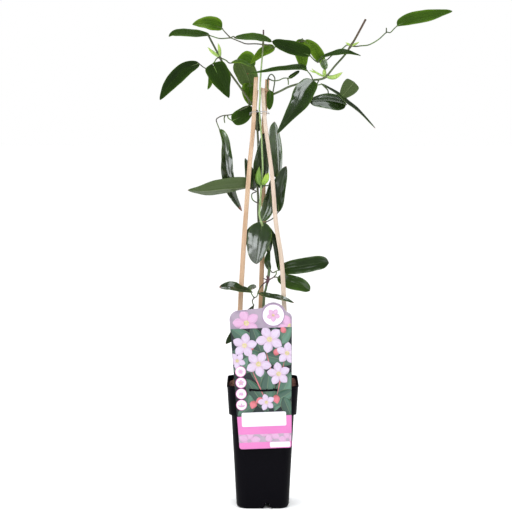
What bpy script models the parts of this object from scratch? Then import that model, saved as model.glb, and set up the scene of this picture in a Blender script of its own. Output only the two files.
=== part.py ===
"""Potted apple blossom clematis: three leafy vines on three tied canes, in a tall square pot with its card.

Lengths are millimetres in the tables and metres in the scene. +Z is up, +X is to the right of the front,
and the eye that the tables were drawn from stands in front, towards -Y.
"""

import math
import random

import bmesh
import bpy
from mathutils import Vector

MM = 0.001

# The pot: a tall square climber pot, 110 mm over the rim bead
POT_HEIGHT = 193.0
POT_WALL = 1.2
POT_FLOOR = 1.5
COLLAR_BOTTOM = 147.0
COLLAR_TOP_HALF = 54.25
CORNER_STEPS = 4
POT_OUTER = (
    # height, half width, corner radius
    (0.0, 37.5, 15.0),
    (1.5, 39.2, 16.5),
    (5.0, 40.6, 17.5),
    (85.0, 44.8, 16.5),
    (COLLAR_BOTTOM, 48.0, 15.5),
    (COLLAR_BOTTOM + 0.4, 51.75, 14.5),
    (189.8, COLLAR_TOP_HALF, 13.5),
    (190.3, 55.0, 13.5),
    (192.6, 55.0, 13.5),
    (POT_HEIGHT, 54.6, 13.2),
)
CHANNEL_FOOT = 12.5
CHANNEL_CROWN = 6.3
CHANNEL_HEIGHT = 9.4
CHANNEL_SHIFT = 6.5
RIDGE_LOW = 0.8
DRAIN_RADIUS = 2.5
DRAIN_OFFSET = 22.0

# Gaps between touching pieces
GAP = 0.35
SOIL_TOP = 181.0
SOIL_LUMP = 2.4
SOIL_CELLS = 10

# The card: a tapering tag with a round bulge, hung by its slot on the pot's toothed bar
CARD_PLANE = -56.6
CARD_THICK = 0.8
CARD_TILT = math.radians(2.1)
CARD_SLOT_CENTER = (0.9, 187.9)
CARD_BOTTOM = -90.0
CARD_TOP = 123.6
CARD_HALF_BOTTOM = 39.6
CARD_HALF_TOP = 47.2
CARD_CORNER_LEFT = 14.0
CARD_CORNER_RIGHT = 9.0
CARD_CORNER_BOTTOM = 4.0
BULGE_CENTER = (19.1, 113.7)
BULGE_RADIUS = 19.4
SLOT_MARGIN = 0.7
BAR_HALF_LENGTH = 21.6
BAR_HEIGHT = 2.9
BAR_SAG = 0.8
BAR_END_FLARE = 1.1
BAR_END_LENGTH = 3.0
BAR_FRONT = -58.0
BAR_BACK = -53.4
TOOTH_PLACES = (-6.2, 5.3, 15.8)
TOOTH_HALF = 0.8
TOOTH_HEIGHT = 1.2

# The eye: the tables give x and height as they appear on the upright plane through the pot's axis,
# and a depth; placed() slides a point along its sight line to that depth
EYE_X = -10.3
EYE_DISTANCE = 2390.0
EYE_HEIGHT = 600.0

BLADE_THICK = 0.9
BLADE_STATIONS = 8
STALK_HALF = 0.8
TIP_HALF = 0.6
TIP_TAPER = 1.35
RIB_BEFORE = 1.5
RIB_AFTER = 6.0
STEM_STEP = 16.0
CANE_STEP = 40.0
CANE_CORNER = 0.25
HOLE_TOP = 225.0
PETIOLE_STEP = 12.0
PETIOLE_ROOT = 0.8
NODE_RADIUS = 2.6

FRONT = (0.0, -1.0, 0.0)
FRONT_UP = (0.0, -0.9, 0.42)
EDGE_ON = (0.0, -0.3, 1.0)

CANES = {
    # points from the buried foot to the top, then half thickness at foot and top
    "cane_left": (
        [(-37, 105, -34), (-39, 186, -34), (-35, 301, -27), (-31, 373, -22), (-27, 435, -18),
         (-20, 527, -12), (-15, 580, -8), (-10, 662, -2)],
        (4.2, 3.2),
    ),
    "cane_right": (
        [(37, 105, -34), (39, 186, -34), (33.2, 311, -26), (29, 381, -21), (20.2, 439, -17),
         (15, 504, -13), (9, 551, -10), (5, 580, -8), (2, 609, -6), (0, 646, -4)],
        (4.0, 2.9),
    ),
    "cane_back": (
        [(-2, 105, 26), (-7, 186, 34), (-3, 308, 25), (-1, 377, 21), (2, 436, 17), (1, 485, 14),
         (1, 576, 8), (6, 640, 4), (7, 659, 3)],
        (4.1, 3.2),
    ),
}
SPLIT_PRONG = [(-13, 590, -6), (-11, 612, -4), (-8, 642, -1)]
SPLIT_HALF = 1.9

TIE_ROUTE = [
    (-19.8, 603, -4), (-19.6, 606, -9), (-17.6, 607.2, -11.3), (-13, 607.8, -11.4), (-5, 608, -11.2),
    (2, 608.3, -10.8), (6.4, 607.8, -10.6), (8.7, 606.6, -8.4), (9.8, 605, -3), (9.9, 604.6, 4),
    (8.9, 605, 9.6), (5.6, 605, 11.3), (-3, 605.5, 11.3), (-12, 605.5, 9.8), (-17.2, 605.2, 5.4),
    (-18.4, 604.6, 0.8),
]
TIE_RADIUS = 0.5


def lance(half):
    """A narrow leaflet's half widths at the five measuring places from base to tip."""
    return tuple(half * share for share in (0.5, 0.92, 1.0, 0.76, 0.38))


def oval(half):
    """A broader leaflet's half widths."""
    return tuple(half * share for share in (0.62, 0.96, 1.0, 0.86, 0.52))


def leaf(route, left, right=None, face=FRONT, tip_face=None, fold=12, wave=(0.0, 0, 0.0), lobe=0.0, across=4):
    """A leaflet: its midrib from base to tip; half widths of its left and right side, seen on the upper
    face with the tip up; the way that face looks at base and tip; the fold at the midrib in degrees; the
    wave of its edge (height, count, phase); and how far its base lobes reach behind its stalk's end."""
    return {
        "route": route, "left": left, "right": right or left, "face": face, "tip_face": tip_face or face,
        "fold": fold, "wave": wave, "lobe": lobe, "across": across,
    }


VINE_CENTER = {
    "stem": [
        (0, 110, 4), (0, 186, 4), (1, 311, -6), (5, 336, -10), (8, 349, -12), (10, 360, -11),
        (10, 373, -9), (10, 394, -4), (5, 418, -2), (-1, 436, -6), (-5, 450, -8), (-4, 467, -8),
        (-3, 482, -8), (-2, 498, -8), (0, 519, -8), (-1, 547, -8), (-2, 570, -7), (-4, 595, -6),
        (-5, 611, -6), (-4, 632, -8), (-4, 649, -10), (-2, 678, -10), (0, 701, -8), (1, 724, -6),
        (1, 732, -5),
    ],
    "radii": (1.9, 1.1),
    "nodes": [(8, 349, -12), (-1, 436, -6), (-4, 467, -8), (-2, 498, -8), (-4, 595, -6), (0, 710, -7)],
    "petioles": [
        [(0, 710, -7), (-11, 711, -10), (-25, 711, -13), (-34, 714, -13), (-44, 718, -11), (-49, 720, -10)],
        [(-49, 720, -10), (-56, 727, -11), (-62, 734, -12)],
        [(-49, 720, -10), (-65, 719, -6), (-76, 722, -2), (-82, 724, 0)],
        [(-49, 720, -10), (-45, 722, -13), (-42, 721, -16)],
        [(0, 710, -7), (9, 709, -4), (16, 706, 0), (38, 709, 6), (54, 714, 8), (63, 715, 8)],
        [(-4, 467, -8), (-9, 469, -7), (-15, 473, -6), (-17, 478, -5), (-16, 483, -5), (-10, 486, -4),
         (-14, 489, -4), (-20, 493, -4)],
        [(-2, 498, -8), (5, 495, -3), (14, 498, 1), (22, 507, 2)],
        [(-1, 436, -6), (5, 439, -5), (16, 445, -4), (24, 455, -5)],
        [(8, 349, -12), (12, 351, -12), (17, 354, -12), (21, 359, -12), (21, 363, -12), (25, 365, -12)],
        [(17, 354, -12), (21, 354, -12), (24, 353, -12)],
        [(21, 363, -12), (15, 361, -11), (11, 366, -10)],
        [(8, 349, -12), (4, 346, -13), (-3, 339, -15), (-7, 331, -16), (-9, 324, -17), (-13, 322, -18)],
        [(-7, 331, -16), (-6, 329, -22)],
        [(-13, 322, -18), (-16, 317, -19), (-14, 310, -22)],
        [(-13, 322, -18), (-16, 326, -22), (-19, 332, -27)],
        [(8, 349, -12), (6, 356, -14)],
        [(8, 349, -12), (1, 352, -15)],
    ],
    "leaves": {
        "crown_left": leaf([(-62, 734, -12), (-83, 741, -20), (-107, 740, -30)], (4.5, 9, 12.5, 8.5, 3.5),
                           (9, 14, 12.5, 8.5, 4), (0, -0.85, 0.5)),
        "crown_far_left": leaf([(-82, 724, 0), (-102, 725, 7), (-122, 726.5, 13), (-136, 726, 17),
                                (-143, 722, 20)], (5.5, 10, 10.5, 8.5, 4), face=(0, -0.6, 0.8)),
        "crown_middle": leaf([(-42, 720, -16), (-16, 720.5, -20), (1, 718, -22), (13.5, 714, -24)],
                             (5, 9, 9.4, 7.6, 4), face=(0, -0.6, 0.8)),
        "crown_inner": leaf([(18, 706, 2), (-1, 698, 2), (-19, 680.5, -5)], (4.5, 7.5, 7.2, 4.8, 2.2),
                            face=(0, -1, 0.2), across=2),
        "crown_tip": leaf([(63, 715, 8), (77, 705, 8), (86.5, 692, 7), (88, 682, 6)], (5, 8, 8.6, 8, 6),
                          (5, 9, 10, 9, 6), (0, -1, 0.2)),
        "crown_hanging": leaf([(60, 718, 9), (58, 705, 10), (60, 690, 11), (62, 671, 10)],
                              (6.5, 10.5, 11, 9, 5)),
        "mid_underside": leaf([(-19, 493, -4), (-35, 491.5, -8), (-66, 489, -15), (-88, 487, -21),
                               (-115, 488, -28)], (13, 17, 15.5, 12.5, 5), (3, 7, 17.5, 16, 8),
                              (0, 0.86, 0.52), fold=31),
        "mid_behind_cane": leaf([(-15, 489, -3), (-19, 512, -2), (-27, 537, -2)], (5, 8.5, 8.4, 5.5, 2.5),
                                fold=10, across=2),
        "mid_upright": leaf([(-3, 491, -6), (-2, 527, 0), (2, 576, 1)], (6, 11, 13, 9, 5),
                            (6, 11, 12, 9, 5), fold=18),
        "mid_right": leaf([(22, 507, 2), (20, 550, 3), (18, 593, 1)], (5, 9, 11, 11, 7),
                          (5, 9, 10.2, 8, 4), fold=16),
        "mid_outer": leaf([(24, 455, -5), (26.5, 488, -3), (36, 525, -6)], (7, 12.5, 14, 11, 6),
                          (4, 8, 8.5, 7, 3.5), wave=(1.2, 2, 0.4)),
        "mid_folded": leaf([(-2, 441, -7), (6.5, 461, -4), (10.5, 481, -3), (12.5, 504, -3)],
                           (5, 8.5, 9, 6, 3), (7, 11, 10, 6, 3), (0.1, -1, 0.1), fold=22),
        "hanging_front": leaf([(-1, 437, -6), (-5.5, 408, -9.5), (-10, 374, -9)], (10, 17.5, 16.5, 12, 6),
                              (10, 18, 19, 16, 9), (0, -1, 0.1), fold=8, lobe=2.0),
        "hanging_left": leaf([(-2, 438, -6), (-19, 424, 0), (-24, 402, 1)], lance(6), across=2),
        "hanging_edge": leaf([(-1, 436, -5), (7, 415, 3), (9, 391, 3)], oval(7.5), face=(0.3, -0.9, 0),
                             across=2),
        "hanging_right": leaf([(25, 365, -12), (20, 404, -7), (8, 434, 0)], lance(6), face=(0.5, -0.85, 0)),
        "low_upright": leaf([(11, 365, -10), (7, 379, -11), (10, 396, -7)], lance(4.8), across=2),
        "low_right": leaf([(26, 366, -12), (45, 369, -15), (65, 372, -21), (85, 375.5, -29), (102, 376, -36)],
                          (7, 11, 12, 11.5, 9), face=(0.1, -0.95, 0.3), fold=8),
        "low_right_under": leaf([(23, 353, -12), (43, 346.5, -12), (60, 341.5, -18), (73, 333, -26)],
                                (6, 10.5, 11, 9.5, 6), face=(0, -0.95, 0.2), fold=8),
        "low_front": leaf([(-6, 329, -22), (9, 324.5, -33), (31, 320, -42), (48, 314, -46)], lance(7.5),
                          face=(0, -0.4, 1)),
        "low_curled": leaf([(-19, 332, -27), (-34, 335, -42), (-50, 339, -47), (-67, 338, -49)],
                           (6, 7.5, 8, 8, 5), (7, 8.5, 10, 9, 5), (0, -0.65, 0.75)),
        "low_small": leaf([(-19, 332, -27), (-17, 337, -19), (-10, 338, -9)], oval(6), face=(0, 1, 0.4),
                          across=2),
        "behind_card": leaf([(-14, 310, -22), (-32, 280, -38), (-57, 250, -45)], (2, 6.5, 8.5, 7, 4),
                            face=(-0.3, -0.9, 0.2)),
    },
    "buds": [
        ([(-3, 497, -9), (-7, 510, -12), (-6, 524, -12)], 3.6),
        ([(-1, 498, -10), (4, 504, -13), (7, 515, -13)], 3.8),
    ],
}

VINE_LEFT = {
    "stem": [
        (-10, 110, 40), (-8, 186, 43), (-3, 308, 33), (-1, 377, 28), (0, 402, 26), (-4, 418, 25),
        (-6, 433, 18), (-7, 455, 11), (-7, 476, 7), (-8, 496, 6), (-7, 527, 6), (-7, 559, 6),
        (-8, 579, 5), (-9, 599, 3), (-12, 611, 4), (-15, 618, 4), (-26, 633, 4), (-35, 646, 4),
        (-50, 667, 5), (-62, 684, 6), (-65, 690, 6), (-74, 707, 8), (-83, 724, 10),
    ],
    "radii": (2.1, 1.4),
    "nodes": [(-22, 617, 5), (-65, 690, 6)],
    "petioles": [
        [(-65, 690, 6), (-56, 686, 10), (-51, 682, 14), (-43, 683, 20), (-36, 687, 30)],
        [(-65, 690, 6), (-70, 689, 3), (-74, 683, 1), (-80, 677, 0), (-84, 673, 0), (-91, 676, 1),
         (-97, 681, 2)],
        [(-78, 678, 0), (-76, 678, -2), (-74, 675, -4)],
        [(-22, 625, 4), (-22, 617, 5), (-35, 610, 14), (-47, 604, 14), (-61, 602, 12), (-68, 599, 10),
         (-71, 596, 9), (-70, 591, 8), (-66, 581, 6)],
        [(-54, 603, 13), (-53, 599, 12), (-51, 597, 11), (-46, 594, 10)],
        [(-57, 603, 13), (-59, 598, 12), (-58, 591, 11)],
    ],
    "leaves": {
        "outer": leaf([(-98, 681, 2), (-116, 674, -4), (-131, 661, -11), (-145, 645, -19), (-157, 626, -28)],
                      (7, 13, 14.5, 12, 6), (6, 11, 12, 9.5, 4.5), (-0.2, -0.9, 0.4), lobe=1.0),
        "heart": leaf([(-74, 676, -4), (-63, 653, -8), (-51.5, 629, -8)], (15, 18, 16, 8.5, 3.5),
                      (14, 15.5, 12.5, 7.5, 3), (0, -0.95, 0.3), fold=8, lobe=6.0),
        "heart_small": leaf([(-80, 677, 0), (-80, 653, 2), (-84, 642, 2)], lance(3.5), across=2),
        "folded_front": leaf([(-36, 687, 30), (-25, 685, 19), (-14, 676, 6)], (12.5, 17.5, 16, 11, 6),
                             (16, 19, 15.5, 10.5, 5.5), (0.05, -0.75, 0.66), fold=18, lobe=5.0),
        "underside": leaf([(-36, 687, 30), (-25, 666, 36), (-18, 646, 33)], (10, 16, 16.5, 15, 9),
                          face=(0, 1, 0.15), fold=8),
        "below_underside": leaf([(-19.5, 652, 34), (-20, 636, 38), (-19, 617, 35)], (10, 12.5, 12, 9, 4)),
        "below_node": leaf([(-46, 594.5, 10), (-31, 602, 14), (-16, 615.5, 17)], (7, 11, 11.6, 10, 6),
                           (8, 12, 12.6, 10, 6), (0, -1, 0.2), lobe=1.0),
        "long_twisted": leaf([(-66, 581, 6), (-58, 560, 9), (-57, 537, 11), (-54, 511, 12), (-47, 484, 12),
                              (-32, 456, 8)], (6, 9, 10.5, 9.5, 5), face=(0.75, -0.65, 0),
                             tip_face=(-0.3, -0.95, 0), fold=24, wave=(1.6, 3, 0.0)),
    },
    "buds": [
        ([(-66, 691, 6), (-77, 699, 6), (-84, 706, 6)], 2.6),
        ([(-65, 692, 6), (-66, 703, 6), (-68, 712, 6)], 2.6),
    ],
}

VINE_RIGHT = {
    "stem": [
        (1, 110, 17), (1, 186, 17), (2, 311, 14), (5, 336, 14), (8, 350, 14), (10, 373, 14),
        (10, 394, 16), (9, 404, 20), (7, 415, 26), (4, 427, 29), (2, 442, 28), (1, 485, 25),
        (2, 534, 20), (1, 576, 17), (3, 608, 15), (7, 624, 13), (12, 631, 8), (15, 634, 6),
        (28, 640, 2), (40, 646, 0), (57, 651, -4), (76, 656, -8), (86, 657, -10), (96, 661, -12),
        (110.5, 678, -14), (124.8, 694, -14), (134, 708, -14), (142, 721, -13), (156.5, 748, -12),
    ],
    "radii": (1.9, 1.5),
    "nodes": [(96, 661, -12), (134, 708, -14)],
    "petioles": [
        [(86, 657, -10), (79, 656, -12), (75, 652, -13)],
        [(86, 657, -10), (83, 649, -12), (90, 650, -14)],
        [(90, 650, -14), (99, 641, -10), (101, 635, -8), (112, 626, -8), (126, 619, -12)],
        [(76, 656, -8), (75, 660, -9), (72, 665, -10), (67, 671, -12)],
        [(134, 708, -14), (128, 709, -12), (119, 702, -9), (105, 693, -9), (98, 687, -13),
         (89, 684, -17), (84, 683, -17)],
        [(84, 683, -17), (79, 686, -20), (72, 693, -24)],
        [(84, 683, -17), (86, 687, -15), (90, 691, -14)],
        [(134, 708, -14), (141, 707, -15), (150, 708, -17), (160, 709, -19), (169, 713, -21),
         (178, 719, -24), (188, 728, -28), (194, 728, -29), (200, 734, -30), (204.5, 738, -31)],
        [(188, 728, -28), (188, 735, -27)],
        [(15, 634, 6), (16, 640, 2), (18, 652, -3), (18, 660, -6), (13, 665, -7), (8, 659, -7),
         (7, 649, -6), (8, 643, -5), (11, 640, -4)],
        [(8, 659, -7), (11, 657, -8), (17, 655, -9), (25, 656, -11), (32, 659, -14), (40, 659, -17)],
        [(38, 659, -16), (39, 654, -16), (39, 649, -15)],
    ],
    "leaves": {
        "inner": leaf([(72, 693, -24), (43, 704, -30), (14, 714.5, -34)], (3.5, 8, 11, 10, 5.5),
                      (9.5, 13.5, 12.5, 9, 5.5), FRONT_UP),
        "edge_on": leaf([(90, 691, -14), (114, 696.5, -25), (129, 697.5, -27), (149, 693, -22)],
                        (5, 9.5, 9.5, 7, 3), face=(0, -0.5, 0.87)),
        "far": leaf([(204.5, 738, -31), (223, 746, -38), (247, 751.5, -47), (270, 756.5, -53), (288, 760, -58)],
                    (8, 11.5, 11, 7.5, 4), (2.5, 8, 10, 7, 3), FRONT_UP),
        "small": leaf([(90, 687, -17), (93, 681, -15), (96, 672, -14)], oval(6), face=(0, -0.9, 0.3), across=2),
        "left_pointing": leaf([(67, 671, -12), (55, 674.5, -15), (30, 672.5, -19), (8, 670, -21),
                               (-24, 665.5, -22)], (5, 6, 5, 3.5, 1.6), (6.5, 9.5, 6.5, 5.5, 1.8),
                              (0, -0.6, 0.8), wave=(1.2, 2, 0.1)),
        "curl_small": leaf([(40, 659, -17), (47, 663.5, -17), (56, 670, -17)], oval(4), face=(0, -0.7, 0.7),
                           across=2),
        "cane_side": leaf([(11, 640, -4), (11.2, 626, -4), (9.7, 611, -5)], oval(5.5), fold=6, across=2),
        "big_hanging": leaf([(75, 652.5, -13), (64, 638, -19), (57, 622, -25), (42, 602, -31), (22, 574, -36)],
                            (12, 17, 15.5, 10.5, 4.5), (12, 16.5, 15.5, 10.5, 4.5), (-0.2, -0.9, 0.4),
                            lobe=4.0),
        "torn": leaf([(127, 619, -12), (100, 624.5, -16), (71, 624, -20)], (8, 14, 14.5, 12, 8),
                     (7, 11, 11.5, 9, 5), (0, -0.95, 0.3), fold=16),
        "long_edge_on": leaf([(90, 650, -14), (113, 636, -20), (130, 621.5, -24), (147.5, 608, -29),
                              (172, 583, -36)], (4.5, 8.5, 9.5, 8, 3.5), face=(0.62, -0.34, 0.76), fold=8),
        "cut_short": leaf([(121, 631, -18), (131.5, 643.5, -15), (139.5, 653.5, -14)], (5, 9, 12, 12.5, 10.5),
                          face=(0.3, 0.9, 0.3), fold=6),
    },
    "buds": [
        ([(98, 661, -13), (109, 660.5, -16), (122, 668, -18)], 3.5),
        ([(95, 661, -12), (94, 668, -12), (95, 675, -12)], 3.0),
        ([(95, 661, -12), (88, 664, -12), (81, 668, -12), (74, 674, -12)], 1.6),
        ([(83, 667, -12), (76, 669, -13), (71, 671, -14)], 1.3),
        ([(134, 707, -14), (131, 710, -14), (126, 713, -14)], 1.9),
        ([(134, 707, -14), (142, 711, -14), (147, 714, -14)], 1.9),
    ],
}

COLOURS = {
    # colour, roughness
    "pot": ((0.012, 0.012, 0.015), 0.38),
    "soil": ((0.060, 0.030, 0.018), 0.95),
    "cane_left": ((0.72, 0.52, 0.34), 0.75),
    "cane_right": ((0.74, 0.55, 0.38), 0.75),
    "cane_back": ((0.50, 0.31, 0.17), 0.80),
    "tie_wire": ((0.45, 0.45, 0.46), 0.40),
    "label": ((0.80, 0.56, 0.72), 0.35),
    "vine_center": ((0.035, 0.110, 0.020), 0.32),
    "vine_left": ((0.030, 0.090, 0.018), 0.32),
    "vine_right": ((0.030, 0.100, 0.018), 0.32),
}


def clear_scene():
    for obj in list(bpy.data.objects):
        bpy.data.objects.remove(obj, do_unlink=True)


def new_collection(name):
    collection = bpy.data.collections.new(name)
    bpy.context.scene.collection.children.link(collection)
    return collection


def new_material(name):
    colour, roughness = COLOURS[name]
    material = bpy.data.materials.new(name)
    material.use_nodes = True
    shader = material.node_tree.nodes["Principled BSDF"]
    shader.inputs["Base Color"].default_value = (*colour, 1.0)
    shader.inputs["Roughness"].default_value = roughness
    shader.inputs["Metallic"].default_value = 0.0
    return material


def placed(point):
    """The point of a table entry (x, height, depth), slid along its sight line, in metres."""
    x, height, depth = point
    scale = (EYE_DISTANCE + depth) / EYE_DISTANCE
    return Vector((EYE_X + (x - EYE_X) * scale, depth, EYE_HEIGHT + (height - EYE_HEIGHT) * scale)) * MM


def spline_point(points, place):
    """A point on the smooth curve through the points, with place running from 0 to the last index."""
    index = min(int(place), len(points) - 2)
    part = place - index
    before = points[max(index - 1, 0)]
    start = points[index]
    end = points[index + 1]
    after = points[min(index + 2, len(points) - 1)]
    return 0.5 * (
        2.0 * start
        + (end - before) * part
        + (2.0 * before - 5.0 * start + 4.0 * end - after) * part**2
        + (3.0 * start - before - 3.0 * end + after) * part**3
    )


def resampled(points, step):
    """The smooth curve through the points, with a point about every step metres."""
    route = [points[0]]
    for index in range(len(points) - 1):
        span = (points[index + 1] - points[index]).length
        count = max(1, round(span / step))
        for k in range(count):
            route.append(spline_point(points, index + (k + 1) / count))
    return route


def link_object(name, mesh, collection):
    obj = bpy.data.objects.new(name, mesh)
    collection.objects.link(obj)
    return obj


def square_section(name, collection):
    """A closed square outline with trimmed corners, half width 1, for a cane's section."""
    curve = bpy.data.curves.new(name, "CURVE")
    curve.dimensions = "2D"
    spline = curve.splines.new("POLY")
    spline.points.add(7)
    trim = 1.0 - CANE_CORNER
    outline = [(1, -trim), (1, trim), (trim, 1), (-trim, 1), (-1, trim), (-1, -trim), (-trim, -1), (trim, -1)]
    for point, (x, y) in zip(spline.points, outline):
        point.co = (x, y, 0.0, 1.0)
    spline.use_cyclic_u = True
    return link_object(name, curve, collection)


def tube(name, route, radii, collection, sides=6):
    """A closed tube along the route, with one radius for each point and 4 or 6 sides, or 0 for a cane's."""
    curve = bpy.data.curves.new(name, "CURVE")
    curve.dimensions = "3D"
    section = None
    if sides:
        curve.bevel_depth = 1.0
        curve.bevel_resolution = (sides - 4) // 2
    else:
        section = square_section(name + "_section", collection)
        curve.bevel_mode = "OBJECT"
        curve.bevel_object = section
    curve.use_fill_caps = True
    spline = curve.splines.new("POLY")
    spline.points.add(len(route) - 1)
    for point, place, radius in zip(spline.points, route, radii):
        point.co = (*place, 1.0)
        point.radius = radius
    guide = link_object(name + "_guide", curve, collection)
    bpy.context.view_layer.update()
    graph = bpy.context.evaluated_depsgraph_get()
    mesh = bpy.data.meshes.new_from_object(guide.evaluated_get(graph))
    bpy.data.objects.remove(guide)
    bpy.data.curves.remove(curve)
    if section:
        bpy.data.objects.remove(section)
    shape = bmesh.new()
    shape.from_mesh(mesh)
    bmesh.ops.remove_doubles(shape, verts=shape.verts, dist=0.00002)
    bmesh.ops.recalc_face_normals(shape, faces=shape.faces)
    bmesh.ops.triangulate(shape, faces=shape.faces)
    shape.to_mesh(mesh)
    shape.free()
    return link_object(name, mesh, collection)


def tapered(count, first, last):
    return [first + (last - first) * k / (count - 1) for k in range(count)]


def stem_tube(name, points, first, last, collection, step=STEM_STEP, sides=6):
    route = resampled([placed(point) for point in points], step * MM)
    return tube(name, route, [r * MM for r in tapered(len(route), first, last)], collection, sides)


def petiole(name, points, collection):
    """A leaf stalk, lengthened at both ends so that it roots in what it joins."""
    route = resampled([placed(point) for point in points], PETIOLE_STEP * MM)
    before = (route[0] - route[1]).normalized() * PETIOLE_ROOT * MM
    after = (route[-1] - route[-2]).normalized() * PETIOLE_ROOT * MM
    route[0] += before
    route[-1] += after
    return tube(name, route, [r * MM for r in tapered(len(route), 0.98, 0.8)], collection, sides=4)


def bud(name, points, radius, collection):
    """A pointed bud: a tube that swells from its foot and closes to a tip."""
    route = resampled([placed(point) for point in points], 4.0 * MM)
    last = len(route) - 1
    radii = [
        max(0.35, radius * math.sin(math.pi * (0.12 + 0.88 * k / last)) ** 0.7) * MM
        if k < last else 0.3 * MM
        for k in range(last + 1)
    ]
    return tube(name, route, radii, collection)


def knot(name, point, radius, collection):
    """A swollen joint of a stem."""
    shape = bmesh.new()
    bmesh.ops.create_icosphere(shape, subdivisions=1, radius=radius * MM)
    bmesh.ops.translate(shape, verts=shape.verts, vec=placed(point))
    mesh = bpy.data.meshes.new(name)
    shape.to_mesh(mesh)
    shape.free()
    return link_object(name, mesh, collection)


def side_width(widths, share):
    """A side's half width in mm at a share of the stations from base (0) to tip (1)."""
    points = [Vector((value, 0.0, 0.0)) for value in (STALK_HALF, *widths, TIP_HALF)]
    return max(spline_point(points, share * (len(points) - 1)).x, TIP_HALF)


def station_place(share):
    """How far along its midrib a leaflet's station stands: its base is rounder than its tip."""
    if share < 0.5:
        return (1.0 - math.cos(math.pi * share)) / 2.0
    return 1.0 - 0.5 * (2.0 * (1.0 - share)) ** TIP_TAPER


def blade(name, leaf_data, collection):
    """A leaflet's open surface, thickened by Solidify."""
    route = [placed(point) for point in leaf_data["route"]]
    last = len(route) - 1
    face = Vector(leaf_data["face"])
    tip_face = Vector(leaf_data["tip_face"])
    across = leaf_data["across"]
    height, count, phase = leaf_data["wave"]
    fold = math.radians(leaf_data["fold"])
    shape = bmesh.new()
    rows = []
    for station in range(BLADE_STATIONS):
        share = station / (BLADE_STATIONS - 1)
        place = station_place(share)
        center = spline_point(route, place * last)
        ahead = spline_point(route, min(place + 0.02, 1.0) * last)
        behind = spline_point(route, max(place - 0.02, 0.0) * last)
        along = (ahead - behind).normalized()
        up = face.lerp(tip_face, place)
        up = (up - up.dot(along) * along).normalized()
        side = along.cross(up)
        ripple = height * math.sin(math.tau * (count * place + phase))
        row = []
        for k in range(across + 1):
            reach = 2.0 * k / across - 1.0
            widths = leaf_data["right"] if reach > 0 else leaf_data["left"]
            half = side_width(widths, share)
            rise = half * (abs(reach) * math.sin(fold) + reach**2 * ripple / 10.0)
            back = leaf_data["lobe"] * abs(reach) * max(0.0, 1.0 - 4.0 * place)
            row.append(shape.verts.new(
                center + (side * half * reach * math.cos(fold) + up * rise - along * back) * MM
            ))
        rows.append(row)
    for lower, upper in zip(rows, rows[1:]):
        for k in range(across):
            a, b, c, d = lower[k], lower[k + 1], upper[k + 1], upper[k]
            if 2 * k < across:
                shape.faces.new((a, b, c))
                shape.faces.new((a, c, d))
            else:
                shape.faces.new((a, b, d))
                shape.faces.new((b, c, d))
    mesh = bpy.data.meshes.new(name)
    shape.to_mesh(mesh)
    shape.free()
    obj = link_object(name, mesh, collection)
    thicken = obj.modifiers.new("Thickness", "SOLIDIFY")
    thicken.thickness = BLADE_THICK * MM
    thicken.offset = 0.0
    thicken.use_even_offset = True
    return obj


def rib(name, leaf_data, collection):
    """The raised foot of the midrib, which roots the blade in its stalk."""
    route = [placed(point) for point in leaf_data["route"]]
    last = len(route) - 1
    step = RIB_AFTER * MM / (route[1] - route[0]).length
    foot = route[0]
    ahead = spline_point(route, min(step, last))
    foot_before = foot + (foot - ahead).normalized() * RIB_BEFORE * MM
    return tube(name, [foot_before, foot, ahead], [0.55 * MM, 1.05 * MM, 0.65 * MM], collection, sides=4)


def joined(name, base, pieces, collection):
    """One Boolean union of the base with every object of the pieces collection, applied."""
    union = base.modifiers.new("Union", "BOOLEAN")
    union.operation = "UNION"
    union.operand_type = "COLLECTION"
    union.collection = pieces
    union.solver = "MANIFOLD"
    bpy.context.view_layer.update()
    graph = bpy.context.evaluated_depsgraph_get()
    mesh = bpy.data.meshes.new_from_object(base.evaluated_get(graph))
    for obj in [base, *pieces.objects]:
        bpy.data.objects.remove(obj, do_unlink=True)
    bpy.data.collections.remove(pieces)
    mesh.name = name
    return link_object(name, mesh, collection)


def build_vine(name, vine, collection):
    pieces = new_collection(name + "_pieces")
    for index, point in enumerate(vine["nodes"]):
        knot(f"{name}_node_{index}", point, NODE_RADIUS, pieces)
    for index, points in enumerate(vine["petioles"]):
        petiole(f"{name}_petiole_{index}", points, pieces)
    for title, leaf_data in vine["leaves"].items():
        blade(f"{name}_{title}", leaf_data, pieces)
        rib(f"{name}_{title}_rib", leaf_data, pieces)
    for index, (points, radius) in enumerate(vine["buds"]):
        bud(f"{name}_bud_{index}", points, radius, pieces)
    stem = stem_tube(name + "_stem", vine["stem"], *vine["radii"], collection)
    return joined(name, stem, pieces, collection)


def square_ring(half, radius):
    """The points of a rounded square, in order round the axis."""
    points = []
    for quarter in range(4):
        middle = math.radians(45 + 90 * quarter)
        center = Vector((math.cos(middle), math.sin(middle))) * (half - radius) * math.sqrt(2)
        for k in range(CORNER_STEPS + 1):
            angle = middle + math.radians(90) * (k / CORNER_STEPS - 0.5)
            points.append(center + radius * Vector((math.cos(angle), math.sin(angle))))
    return points


def add_loft(shape, rings):
    """A closed solid through rounded squares given as (height, half width, corner radius)."""
    loops = []
    for height, half, radius in rings:
        loops.append([shape.verts.new((p.x * MM, p.y * MM, height * MM)) for p in square_ring(half, radius)])
    for lower, upper in zip(loops, loops[1:]):
        for k in range(len(lower)):
            after = (k + 1) % len(lower)
            shape.faces.new((lower[k], lower[after], upper[after], upper[k]))
    shape.faces.new(reversed(loops[0]))
    shape.faces.new(loops[-1])


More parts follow.
